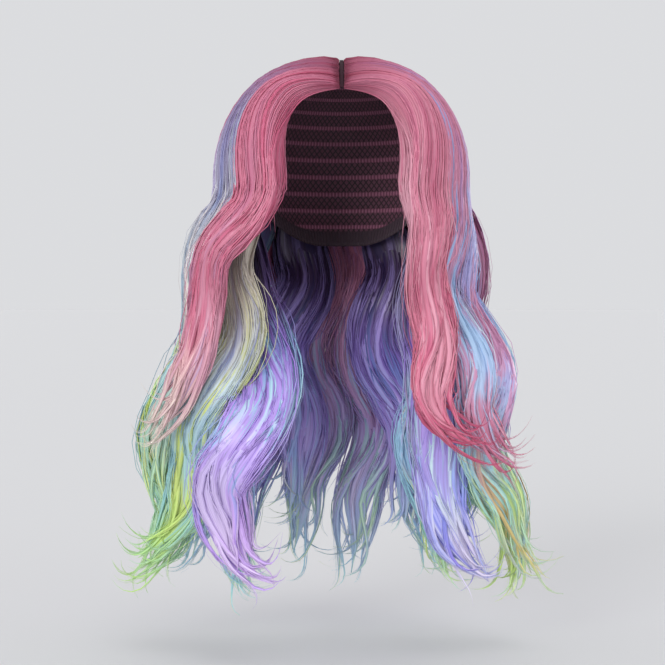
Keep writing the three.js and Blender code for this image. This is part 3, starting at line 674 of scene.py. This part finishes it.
def piece_of(name, surfaces, material, node):
    """One object of several closed surfaces, with its texture map and flow, which rides on the only body and
    stands for its node."""

    def joined(key):
        """That array of every surface, one after the other."""
        return np.concatenate([part[key] for part in surfaces])

    starts = np.cumsum([0] + [len(part["points"]) for part in surfaces[:-1]])
    for part, start in zip(surfaces, starts):
        part["quads"] = part["quads"] + start
        part["triangles"] = part["triangles"] + start
    points, quads, triangles = joined("points"), joined("quads"), joined("triangles")
    corners = np.concatenate([quads.ravel(), triangles.ravel()])
    faces = len(quads) + len(triangles)
    loop_start = np.concatenate([np.arange(len(quads)) * 4, quads.size + np.arange(len(triangles)) * 3])
    uv = np.concatenate([joined("quad_uv"), joined("cap_uv")])
    mesh = bpy.data.meshes.new(name)
    mesh.vertices.add(len(points))
    mesh.vertices.foreach_set("co", points.astype(np.float32).ravel())
    mesh.loops.add(len(corners))
    mesh.loops.foreach_set("vertex_index", corners.astype(np.int32))
    mesh.polygons.add(faces)
    mesh.polygons.foreach_set("loop_start", loop_start.astype(np.int32))
    mesh.polygons.foreach_set("use_smooth", np.ones(faces, bool))
    mesh.uv_layers.new(name="OFBake").uv.foreach_set("vector", uv.astype(np.float32).ravel())
    flow = mesh.attributes.new("flow", "FLOAT_VECTOR", "POINT")
    flow.data.foreach_set("vector", joined("flow").astype(np.float32).ravel())
    mesh.update(calc_edges=True)
    mesh.materials.append(material)
    piece = bpy.data.objects.new(name, mesh)
    bpy.context.scene.collection.objects.link(piece)
    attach(piece, "root")
    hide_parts(node)


def flow_at(around, at, share):
    """A vertex's place in the hair: metres around its lock, metres from the root, and share of the length."""
    return np.stack(np.broadcast_arrays(around, at, share), -1)


def strand_tubes(middles, outs, half_widths, around, at, share, cells):
    """Three-sided strands along middle lines, shape (strands, rings, 3): a ridge outwards and two edges
    across, at a half width that is given for each ring."""
    along = unit(np.gradient(middles, axis=1))
    across = unit(np.cross(along, outs))
    out = np.cross(across, along)
    angles = np.array([90, 210, 330]) * DEGREE
    wide = half_widths[..., None, None]
    rings = middles[:, :, None] + across[:, :, None] * np.cos(angles)[:, None] * wide * STRAND_FLAT
    rings = rings + out[:, :, None] * np.sin(angles)[:, None] * wide * STRAND_RIDGE
    flow = flow_at(around[:, None, None], at[..., None] + np.zeros(3), share[..., None])
    return closed_tubes(rings, flow, cells)


def lock_core(lock, cells):
    """The body of a lock inside its strands: squared ovals, grooved along the flow by a cosine of the angle
    that wanders with the length, and drawn to a point before the tips."""
    at = np.linspace(0.5 * MM, lock.length * CORE_ENDS, CORE_ROWS)[:, None]
    angle = ring_angles(CORE_SIDES)[None]
    loose = lock.loose(at)
    wander = GROOVE_WANDER * np.sin(at / GROOVE_LENGTH + lock.row["layer"])
    groove = lerp(0.015, 0.08, loose) * (0.5 - 0.5 * np.cos(angle * GROOVES + wander))
    drawn = np.sqrt(np.clip(1 - smoothstep(at / lock.length, 0.62, CORE_ENDS), POINTED, 1))
    a, b = oval(angle, lerp(1, 0.92, loose) * (1 - groove) * drawn, lerp(0.4, 0.8, loose))
    rings = lock.place(a, b, at, root=CROWN_SEAT + ROOT_HEIGHT)
    flow = flow_at(angle / (2 * np.pi) * PATTERN_ROUND, at, at / lock.length)
    return closed_tubes(rings[None], flow[None], cells)


def angle_at(around):
    """The angle of a lock's flat oval section at a share of the way round its rim."""
    wheel = np.linspace(0, 2 * np.pi, 721)
    rim = np.hypot(np.sin(wheel), SECTION_FLATNESS * np.cos(wheel))
    walked = np.concatenate([[0], np.cumsum((rim[1:] + rim[:-1]) / 2)])
    return np.interp(np.mod(around, 1), walked / walked[-1], wheel)


def lay_tufts(lock, rng):
    """The tufts of a lock, one value for each: the place round the section and in it, the length, the sines
    that it swings by, and the circle that its end is rolled up on."""
    around = (np.arange(TUFTS) + rng.uniform(-0.3, 0.3, TUFTS)) / TUFTS
    a, b = oval(angle_at(around), 0.74, 0.85)
    turned = np.sign(lock.row["curl"]) * (1 if lock.row["lies"] == "front" else -1)
    return {
        "around": around,
        "a": a,
        "b": b,
        "length": lock.length * rng.uniform(0.93, 1.03, TUFTS),
        "aside": rng.uniform(2, 6, TUFTS) * MM * rng.choice([-1, 1], TUFTS),
        "out": rng.uniform(0.6, 2.2, TUFTS) * MM * rng.choice([-1, 1], TUFTS),
        "wave": rng.uniform(90, 170, TUFTS) * MM,
        "phase": rng.uniform(0, 2 * np.pi, TUFTS),
        "flick": rng.normal(0, 5, TUFTS) * MM,
        "lift": rng.uniform(-3, 6, TUFTS) * MM,
        "radius": rng.uniform(12, 22, TUFTS) * MM,
        "bend": rng.uniform(0.8, 2.3, TUFTS),
        "tilt": rng.uniform(-0.5, 0.6, TUFTS),
        "turned": rng.choice([-1, 1, 1, 1, 1], TUFTS) * turned,
    }


def swung(lock, tufts, which, at):
    """How far along the lock those tufts have come, and how far they swing aside and outwards: sines of the
    length that grow towards the tip, whose last stretch is rolled up on a circle."""
    own = {key: value[which][:, None] for key, value in tufts.items()}
    share = np.interp(at, lock.at, lock.share)
    rolls = own["length"] - own["radius"] * own["bend"]
    turned_by = np.maximum(0, at - rolls) / own["radius"]
    come = np.minimum(at, rolls) + own["radius"] * np.sin(turned_by)
    off = own["radius"] * (1 - np.cos(turned_by))
    grown = smoothstep(share, 0.05, 1.1)
    ended = smoothstep(share, 0.9, 2.2) ** 1.5
    turn = 2 * np.pi * at / own["wave"] + own["phase"]
    aside = own["aside"] * grown * np.sin(turn) + own["flick"] * ended
    out = own["out"] * grown * np.cos(turn * 1.13) + own["lift"] * ended
    return come, aside + off * np.cos(own["tilt"]) * own["turned"], out + off * np.sin(own["tilt"])


def gathered(at, end):
    """How far strands are drawn to their tuft's middle: not on the head, and most of the way at the tip."""
    return 0.76 * smoothstep(at / end, 0.35, 1.05)


def tuft_skin(lock, tufts, cells):
    """The tufts of a lock: flat ovals that lie along its section's rim, narrower towards the tip."""
    length = tufts["length"][:, None]
    start = lock.head_length * 0.8
    at = along_strand(start, length, TUFT_ROWS)
    come, aside, out = swung(lock, tufts, np.arange(TUFTS), at)
    drawn = gathered(at, length)
    close = np.sqrt(np.clip(1 - smoothstep(at / length, 0.7, 1.0), POINTED, 1))
    perimeter = SECTION_ROUND * lock.row["width"] * LOCK_WIDTH / 2
    opened = smoothstep(at, start - 10 * MM, start + 50 * MM)
    wide = lerp(0.62 * perimeter / TUFTS, 1.5 * MM, drawn) * close * opened
    deep = lerp(2.3 * MM, 1.1 * MM, drawn) * close
    angle = angle_at(tufts["around"])
    tangent = unit(np.stack([-np.sin(angle), SECTION_FLATNESS * np.cos(angle)], -1))[:, None, None]
    normal = np.stack([tangent[..., 1], -tangent[..., 0]], -1)
    spread = wide[..., None] * np.cos(ring_angles(TUFT_SIDES))
    raised = deep[..., None] * np.sin(ring_angles(TUFT_SIDES))
    moved = np.stack([aside, out], -1)[:, :, None] + spread[..., None] * tangent + raised[..., None] * normal
    b = (tufts["b"][:, None] * lerp(0.6, 1, lock.loose(at)))[..., None]
    rings = lock.place(tufts["a"][:, None, None], b, come[..., None], moved[..., 0], moved[..., 1])
    around = tufts["around"][:, None, None] * PATTERN_ROUND + spread
    flow = flow_at(around, at[..., None], at[..., None] / lock.length)
    return closed_tubes(rings, flow, cells)


def strand_skin(lock, rng, tufts, cells):
    """The strands of a lock. They start evenly spread round their tufts' places and are drawn to the tufts'
    middles towards the tip. Those that show on the head start at the root, and those at the hairline lie down
    the lock's edge."""

    def between(low, high):
        """An even draw for each strand."""
        return rng.uniform(low, high, STRANDS)

    at_face = lock.top and lock.row["start"] == 0
    at_back = lock.top and lock.row["stop"] > 0.99
    tuft = rng.integers(0, TUFTS, STRANDS)
    outer = rng.random(STRANDS) < 0.35
    tuft = np.where(outer, rng.choice(np.flatnonzero(tufts["b"] > -0.1), STRANDS), tuft)
    own_around = tufts["around"][tuft] + between(-0.8, 0.8) / TUFTS
    angle = angle_at(own_around)
    stray = rng.random(STRANDS) < 0.08
    bridging = rng.random(STRANDS) < 0.16
    reach = np.where(stray, between(1.1, 1.45), between(0.88, 1.04))
    hang_a, hang_b = oval(angle, reach, 0.85)
    hang_a = hang_a * np.where(bridging, 1.16, 1)
    hang_a = hang_a + 0.4 * at_back * (np.cos(angle) > 0.1) * between(0, 1)
    head_a = 1.1 * np.sign(np.cos(angle)) * np.abs(np.cos(angle)) ** 0.6
    shows = np.sin(angle) > -0.12
    hairline = at_face & (np.cos(angle) < 0.1) & ~shows
    head_a = np.where(hairline, -1.0 - 0.1 * between(0, 1), head_a)
    head_b = np.where(shows, 1.0, np.where(hairline, between(-1, 0.9), -0.5))
    head_lift = np.where(shows, between(-0.2, 1.0) * MM, 0)
    fill = between(0, 1) < 0.6
    head_lift = np.where(hairline & fill, -between(0, 0.9) * CROWN_SIDE * 0.6, head_lift)
    begins = np.where(shows | hairline, between(0, 2) * MM, lock.head_length * between(0.8, 0.97))[:, None]
    ends = (tufts["length"][tuft] * between(0.86, 1.01))[:, None]
    at = along_strand(begins, ends, STRAND_RINGS)
    loose = lock.loose(at)
    drawn = gathered(at, ends)
    a = lerp(lerp(head_a[:, None], hang_a[:, None], loose), tufts["a"][tuft][:, None], drawn)
    b = lerp(lerp(head_b[:, None], hang_b[:, None], loose), tufts["b"][tuft][:, None], drawn)
    come, aside, out = swung(lock, tufts, tuft, at)
    wiggle = between(0.3, 1.1)[:, None] * MM * np.where(stray, 2.6, 1.0)[:, None]
    turn = 2 * np.pi * at / (between(60, 130)[:, None] * MM) + between(0, 6.3)[:, None]
    aside = aside + wiggle * np.sin(turn) * lerp(0.5, 1.6, loose)
    out = out + 0.6 * wiggle * np.cos(turn * 0.9) * loose + head_lift[:, None] * (1 - loose)
    root = CROWN_SEAT + between(1.4, 2.4)[:, None] * MM
    middles = lock.place(a, b, come, aside, out, root=root)
    outs = on_axis(lock.out, at.ravel(), lock.at).reshape(at.shape + (3,))
    outs = unit(lerp(unit(middles + [0, 0, CAP_CROWN]), outs, loose[..., None]))
    share = np.linspace(0, 1, STRAND_RINGS)[None]
    wide = STRAND_HALF_WIDTH * (between(0.6, 1.4) * np.where(stray, 0.5, 1))[:, None]
    wide = wide * lerp(1, 0.12, smoothstep(share, 0.7, 1)) * lerp(0.5, 1, smoothstep(share, 0, 0.03))
    around = own_around * PATTERN_ROUND + between(-1.5, 1.5) * MM
    return strand_tubes(middles, outs, wide, around, at, at / lock.length, cells)


def hang_lock(prefix, row, dyes, seed):
    """One lock as a piece: its core, its tufts and its strands."""
    name = prefix + row["name"]
    lock = Lock(row)
    rng = np.random.default_rng(seed)
    tufts = lay_tufts(lock, rng)
    surfaces = [
        lock_core(lock, uv_cells(1, (0, 0, 0.12, 1), 1)),
        tuft_skin(lock, tufts, uv_cells(TUFTS, (0.12, 0, 0.3, 1), 1)),
        strand_skin(lock, rng, tufts, uv_cells(STRANDS, (0.3, 0, 1, 1), 2)),
    ]
    dye, slot = LOCK_FINISH[row["name"]]
    piece_of("hair_" + name, surfaces, dyes[dye], name)


def crown_pad(side):
    """The pad of one side's crown hair, laid over the cap between its lines of flow. Its section is a flat
    oval: out is a root of 1 less the seventh power of across."""
    t = np.linspace(0.004, 1, 30)[:, None]
    angle = ring_angles(96)[None]
    across = np.cos(angle)
    out = np.sign(np.sin(angle)) * (1 - np.abs(across) ** 7) ** 0.15
    s = lerp(CROWN_FRONT, 0.998, 0.5 + 0.5 * across) + 0 * t
    dirs = crown_flow(side, s, t)
    ridges = 0.6 * MM * np.cos(s * 28 * 2 * np.pi) * np.sin(np.pi * t)
    lower = np.sqrt(np.clip((1 - t) / 0.05, 0, 1))
    full = (crown_thickness(dirs) + ridges - 0.5 * MM) * risen((t - t[0]) * CROWN_LENGTH) * lower
    rings = above_head(dirs, CROWN_SEAT + full * (0.5 + 0.5 * out))
    kept_clear(rings, side, PART_HALF_WIDTH * (1 - smoothstep(t, 0.1, 0.3)))
    flow = flow_at(s * PATTERN_BACK, t * CROWN_LENGTH, t * CROWN_DYE_SHARE)
    return closed_tubes(rings[None], flow[None], uv_cells(1, (0, 0, 0.3, 1), 1), zipped=True)


def crown_strands(side, rng):
    """Strands combed over one side's crown hair, which run on a little below its lower edge."""

    def between(low, high):
        """An even draw for each strand."""
        return rng.uniform(low, high, CROWN_STRANDS)[:, None]

    s = between(CROWN_FRONT - 0.02, 1.005)
    fall = between(5, 45) * MM
    at = along_strand(0, CROWN_LENGTH + fall, CROWN_RINGS)
    t = np.clip(at / CROWN_LENGTH, 0.004, 1)
    wander = 0.004 * np.sin(at / (30 * MM) + between(0, 6.3))
    dirs = crown_flow(side, s + wander, t)
    height = CROWN_SEAT + 1.5 * MM + (crown_thickness(dirs) + between(-1.5, 0.3) * MM) * risen(at)
    inside = rng.random(CROWN_STRANDS)[:, None] < 0.35
    tucked = lerp(1, between(0.1, 0.9), smoothstep(t, 0.8, 1))
    height = np.where(inside, CROWN_SEAT + (height - CROWN_SEAT) * tucked, height)
    middles = above_head(dirs, height)
    kept_clear(middles, side, PART_HALF_WIDTH * (1 - smoothstep(t, 0.1, 0.3)))
    below = np.maximum(0, at - CROWN_LENGTH)[..., None]
    middles = middles + below * (np.array([0, 0, -1]) - 0.12 * unit(middles * [1, 1, 0]))
    outs = unit(middles + [0, 0, CAP_CROWN])
    share = np.linspace(0, 1, CROWN_RINGS)[None]
    wide = STRAND_HALF_WIDTH * lerp(1, 0.15, smoothstep(share, 0.75, 1)) + 0 * at
    cells = uv_cells(CROWN_STRANDS, (0.3, 0, 1, 1), 2)
    return strand_tubes(middles, outs, wide, s[:, 0] * PATTERN_BACK, at, at / DYE_LENGTH, cells)


def crown_hair(side, name, dye, seed):
    """The crown hair of one side as a piece: its pad and its strands."""
    surfaces = [crown_pad(side), crown_strands(side, np.random.default_rng(seed))]
    piece_of("hair_" + name, surfaces, dye, name)


def cap_reach(azimuth):
    """How far the cap reaches down at an angle from the face: a smooth curve through the rows of CAP_EDGE."""
    rows = np.array(CAP_EDGE, float)
    angle = np.abs(azimuth)
    after = np.clip(np.searchsorted(rows[:, 0], angle, side="left"), 1, len(rows) - 1)
    share = (angle - rows[after - 1, 0]) / (rows[after, 0] - rows[after - 1, 0])
    place = after - 1 + share
    low = np.clip(np.floor(place).astype(int), 0, len(rows) - 2)
    p0, p1, p2, p3 = (rows[np.clip(low + i, 0, len(rows) - 1), 1] for i in (-1, 0, 1, 2))
    return cubic(p1, p2, (p2 - p0) / 2, (p3 - p1) / 2, place - low)


def net_cap(material):
    """The cap: a double wall, down the outer skin and up the inner one. The inner skin has a low ridge at
    each sewn row, a bell curve of the distance from it, and the edge is a rolled hem."""
    outer = np.linspace(0.01, 1, 14)
    inner = np.linspace(1, 0.01, 110)
    share = np.concatenate([outer, inner])[:, None]
    round_back = np.linspace(-180, 180, 121)[:-1][None]
    down = share * cap_reach(180 - np.abs(round_back))
    row = np.abs(np.mod(down / WEFT_STEP, 1) - 0.5) * WEFT_STEP
    ridge = WEFT_HEIGHT * np.exp(-((row / 1.1) ** 2))
    ridge = ridge * smoothstep(down, 14, 22) * (1 - smoothstep(share, 0.9, 0.93))
    hem = smoothstep(share, 0.925, 0.945) * HEM_HEIGHT
    rolled = np.where(share > 0.988, np.sqrt(np.clip((1 - share) / 0.012, 0, 1)), 1)
    outside = (np.arange(len(share)) < len(outer))[:, None]
    half = CAP_WALL / 2
    height = np.where(outside, half + half * rolled, half - (half + hem) * rolled - ridge)
    rings = above_head(direction(180 + round_back, down), height)
    flow = flow_at(round_back * DEGREE * HEAD_REACH, down * DEGREE * HEAD_REACH, share)
    skin = closed_tubes(rings[None], flow[None], uv_cells(1, (0, 0, 1, 1), 1))
    piece_of("wig_net_cap", [skin], material, "net_cap")


def parting_strip(material):
    """The strip in the parting: a rounded flat section carried over the crown."""
    reach = np.linspace(-PART_BACK, PART_FRONT, 70)[:, None]
    across, out = oval(ring_angles(14)[None], 1, 0.5)
    height = CROWN_SEAT + STRIP_THICKNESS / 2 * (1 + out) + 0 * reach
    rings = above_head(direction(0, reach + 0 * across), height)
    rings[..., 0] = across * STRIP_WIDTH / 2
    angle = reach * DEGREE
    flow = flow_at(across * STRIP_WIDTH / 2, angle * CAP_CROWN, angle)
    skin = closed_tubes(rings[None], flow[None], uv_cells(1, (0, 0, 1, 1), 1))
    piece_of("wig_parting_strip", [skin], material, "parting_strip")


def linear(code):
    """An sRGB hex colour as linear light with full alpha."""
    channels = np.array([int(code[i : i + 2], 16) for i in (0, 2, 4)]) / 255
    light = np.where(channels <= 0.04045, channels / 12.92, ((channels + 0.055) / 1.055) ** 2.4)
    return (*light, 1.0)


def add(tree, kind, inputs, stops=None, **settings):
    """Adds a shader node with its settings and a ramp's stops, sets or links its inputs, and gives back its
    outputs."""
    node = tree.nodes.new("ShaderNode" + kind)
    for key, value in settings.items():
        setattr(node, key, value)
    for key, value in inputs.items():
        if isinstance(value, bpy.types.NodeSocket):
            tree.links.new(value, node.inputs[key])
        else:
            node.inputs[key].default_value = value
    for i, (place, code) in enumerate(sorted((stops or {}).items())):
        elements = node.color_ramp.elements
        element = elements[i] if i < 2 else elements.new(place)
        element.position = place
        element.color = linear(code)
    return node.outputs


def new_material(name):
    """An empty material and its node tree."""
    material = bpy.data.materials.new(name)
    material.use_nodes = True
    material.node_tree.nodes.clear()
    return material, material.node_tree


def dyed_fibre(name, *runs):
    """Modacrylic wig fibre, spun, dyed in runs along its length and hot curled: smooth, glossy and a little
    translucent, so that its shine runs in long thin streaks. Neighbouring bands of fibres differ in
    brightness, partly at random and partly by painted shade in the low bands of the bump, and painted shade
    darkens the roots."""
    material, tree = new_material("modacrylic_fibre_" + name)
    flow = add(tree, "Attribute", {}, attribute_name="flow")["Vector"]
    share = add(tree, "SeparateXYZ", {"Vector": flow})["Z"]
    noises = []
    for across, along, detail in ((FIBRE_BAND, FIBRE_RUN, 2.0), (STREAK_BAND, STREAK_RUN, 3.0)):
        scaled = add(tree, "VectorMath", {0: flow, 1: (1 / across, 1 / along, 0)}, operation="MULTIPLY")[0]
        noise = {"Vector": scaled, "Scale": 1.0, "Detail": detail}
        noises.append(add(tree, "TexNoise", noise, noise_dimensions="2D")["Fac"])
    fibres, streaks = noises
    shift = add(tree, "Math", {0: fibres, 1: 0.16, 2: -0.08}, operation="MULTIPLY_ADD")[0]
    moved = add(tree, "Math", {0: share, 1: shift}, operation="ADD")[0]
    colour, wide, narrow = (add(tree, "ValToRGB", {"Fac": moved}, run)["Color"] for run in runs)
    for streak, begins, full, most in ((wide, 0.5, 0.62, 0.9), (narrow, 0.43, 0.34, 0.85)):
        between = {"Value": streaks, "From Min": begins, "From Max": full, "To Max": most}
        chosen = add(tree, "MapRange", between, interpolation_type="SMOOTHSTEP")["Result"]
        colour = add(tree, "Mix", {0: chosen, 6: colour, 7: streak}, data_type="RGBA")[2]
    # Painted shade: the fibre bands darken where their bump lies low, and the roots darken too; the bands
    # also differ at random.
    for place, stops in ((fibres, FIBRE_TONES_AND_TROUGH_SHADE), (share, PAINTED_ROOT_SHADE)):
        shade_and_tone = add(tree, "ValToRGB", {"Fac": place}, stops)["Color"]
        colour = add(tree, "Mix", {0: 1.0, 6: colour, 7: shade_and_tone}, data_type="RGBA", blend_type="MULTIPLY")[2]
    bump = add(tree, "Bump", {"Height": fibres, "Strength": 0.35, "Distance": 0.4 * MM})["Normal"]
    muted = {"Value": share, "From Max": 0.06, "To Min": 0.8, "To Max": 0.36}
    shader = add(tree, "BsdfPrincipled", {
        "Base Color": colour,
        "Roughness": add(tree, "MapRange", muted)["Result"],
        "IOR": 1.5,
        "Specular IOR Level": 0.6,
        "Normal": bump,
    })["BSDF"]
    add(tree, "OutputMaterial", {"Surface": shader})
    return material


def knitted_net():
    """Elastic nylon net, knitted: dark matt threads round cells through which the pink roots show, with sewn
    rows of hair and a ribbed elastic hem."""
    material, tree = new_material("nylon_net_knitted")
    flow = add(tree, "Attribute", {}, attribute_name="flow")["Vector"]
    around, down, share = add(tree, "SeparateXYZ", {"Vector": flow})
    threads = []
    for slope in (1.0, -1.0):
        run = add(tree, "Math", {0: down, 1: slope, 2: around}, operation="MULTIPLY_ADD")[0]
        turn = add(tree, "Math", {0: run, 1: np.pi / NET_CELL}, operation="MULTIPLY")[0]
        wave = add(tree, "Math", {0: turn}, operation="SINE")[0]
        threads.append(add(tree, "Math", {0: wave}, operation="ABSOLUTE")[0])
    nearest = add(tree, "Math", {0: threads[0], 1: threads[1]}, operation="MINIMUM")[0]
    open_cell = add(tree, "MapRange", {"Value": nearest, "From Min": 0.28, "From Max": 0.5},
                    interpolation_type="SMOOTHSTEP")["Result"]
    net = add(tree, "Mix", {0: open_cell, 6: linear("33262E"), 7: linear("6E4455")}, data_type="RGBA")[2]
    rows = add(tree, "Math", {0: down, 1: 1 / (WEFT_STEP * DEGREE * HEAD_REACH)}, operation="MULTIPLY")[0]
    step = add(tree, "Math", {0: rows, 1: 1.0}, operation="MODULO")[0]
    off = add(tree, "Math", {0: step, 1: 0.5}, operation="SUBTRACT")[0]
    apart = add(tree, "Math", {0: off}, operation="ABSOLUTE")[0]
    sewn = add(tree, "MapRange", {"Value": apart, "From Min": 0.16, "From Max": 0.08})["Result"]
    turn = add(tree, "Math", {0: around, 1: 2 * np.pi / STITCH}, operation="MULTIPLY")[0]
    stitch = add(tree, "Math", {0: turn}, operation="SINE")[0]
    weft = add(tree, "ValToRGB", {"Fac": stitch}, {0: "7E4A60", 1: "B87792"})["Color"]
    colour = add(tree, "Mix", {0: sewn, 6: net, 7: weft}, data_type="RGBA")[2]
    hem = add(tree, "MapRange", {"Value": share, "From Min": 0.925, "From Max": 0.935})["Result"]
    colour = add(tree, "Mix", {0: hem, 6: colour, 7: linear("4A3A44")}, data_type="RGBA")[2]
    height = add(tree, "Mix", {0: hem, 2: nearest, 3: stitch}, data_type="FLOAT")[0]
    bump = add(tree, "Bump", {"Height": height, "Strength": 0.5, "Distance": 0.5 * MM})["Normal"]
    shader = add(tree, "BsdfPrincipled", {
        "Base Color": colour,
        "Roughness": 0.75,
        "IOR": 1.53,
        "Normal": bump,
    })["BSDF"]
    add(tree, "OutputMaterial", {"Surface": shader})
    return material


def woven_strip_painted_dark():
    """Polyester ribbon, woven: matt, with a fine rib across. Its near-black colour is painted shade, for the
    deep gap between the hair that it lies in.
    """
    material, tree = new_material("polyester_ribbon_woven_painted_shade")
    flow = add(tree, "Attribute", {}, attribute_name="flow")["Vector"]
    wave = {"Vector": flow, "Scale": 1 / RIB / 3, "Distortion": 0.6}
    ribs = add(tree, "TexWave", wave, bands_direction="Y")["Fac"]
    # Painted shade: the ribs run from near black to dark rose, the shadow in the parting's gap.
    colour = add(tree, "ValToRGB", {"Fac": ribs}, {0: "22101A", 1: "40202C"})["Color"]
    bump = add(tree, "Bump", {"Height": ribs, "Strength": 0.5, "Distance": 0.3 * MM})["Normal"]
    shader = add(tree, "BsdfPrincipled", {
        "Base Color": colour,
        "Roughness": 0.8,
        "Specular IOR Level": 0.25,
        "Normal": bump,
    })["BSDF"]
    add(tree, "OutputMaterial", {"Surface": shader})
    return material


def pale_floor(level):
    """A plain pale floor, large enough to run out of every view."""
    mesh = bpy.data.meshes.new("floor")
    reach = 40
    corners = [(-reach, -reach, level), (reach, -reach, level), (reach, reach, level), (-reach, reach, level)]
    mesh.from_pydata(corners, [], [(0, 1, 2, 3)])
    material, tree = new_material("painted_plaster_matt")
    shader = add(tree, "BsdfPrincipled", {"Base Color": linear("D8D8D9"), "Roughness": 0.95})["BSDF"]
    add(tree, "OutputMaterial", {"Surface": shader})
    mesh.materials.append(material)
    floor = bpy.data.objects.new("floor", mesh)
    bpy.context.scene.collection.objects.link(floor)


def look_at(place, target):
    """The turn that points an object's -Z at the target with +Y up."""
    return (Vector(target) - Vector(place)).to_track_quat("-Z", "Y").to_euler()


def soft_light(name, place, target, width, strength):
    """A large softbox that stands far off in the direction of place, as wide as an angle in degrees, so that
    it lights the whole floor evenly."""
    light = bpy.data.lights.new(name, "SUN")
    light.angle = width * DEGREE
    light.energy = strength
    lamp = bpy.data.objects.new(name, light)
    lamp.location = place
    lamp.rotation_euler = look_at(place, target)
    bpy.context.scene.collection.objects.link(lamp)


def light_and_camera():
    """A studio of soft lights round the wig, a pale world, and the camera in front of the face."""
    scene = bpy.context.scene
    low, high = (np.array(corner) for corner in cad_box)
    centre = (low + high) / 2
    soft_light("key", (-1.0, -2.1, 0.5), centre + [0, 0, 0.08], 26, 1.25)
    soft_light("fill", (1.5, -1.7, -0.15), centre, 30, 0.7)
    soft_light("crown", (0.2, -0.7, 1.5), centre + [0, 0, 0.2], 24, 0.3)
    soft_light("back_left", (-1.5, 1.7, 0.2), centre, 26, 0.6)
    soft_light("back_right", (1.6, 1.6, 0.1), centre, 26, 0.6)
    scene.world = bpy.data.worlds.new("pale_studio")
    scene.world.use_nodes = True
    background = scene.world.node_tree.nodes["Background"]
    background.inputs["Color"].default_value = linear("F2F3F6")
    background.inputs["Strength"].default_value = 0.8
    scene.view_settings.view_transform = "Standard"
    camera = bpy.data.cameras.new("camera")
    camera.lens = 100
    camera.sensor_width = 36
    away = (high[2] - low[2]) / FRAME_FILLED / (camera.sensor_width / camera.lens)
    place = centre + [0, -away, VIEW_RAISED * away]
    holder = bpy.data.objects.new("camera", camera)
    holder.location = place
    holder.rotation_euler = look_at(place, centre)
    scene.collection.objects.link(holder)
    scene.camera = holder


light_and_camera()
pale_floor(cad_box[0][2] - FLOOR_BELOW)
dyes = {name: dyed_fibre(name, *runs) for name, runs in DYES.items()}
net_cap(knitted_net())
parting_strip(woven_strip_painted_dark())
crown_hair(-1, "crown_left", dyes["rose_pink"], SEED + 101)
crown_hair(1, "crown_right", dyes["rose_pink"], SEED + 102)
for prefix, columns, table in (("lock_", TOP_COLUMNS, TOP_LOCKS), ("under_", UNDER_COLUMNS, UNDER_LOCKS)):
    for index, row in enumerate(table):
        hang_lock(prefix, dict(zip(columns, row)), dyes, SEED + index + 20 * len(prefix))
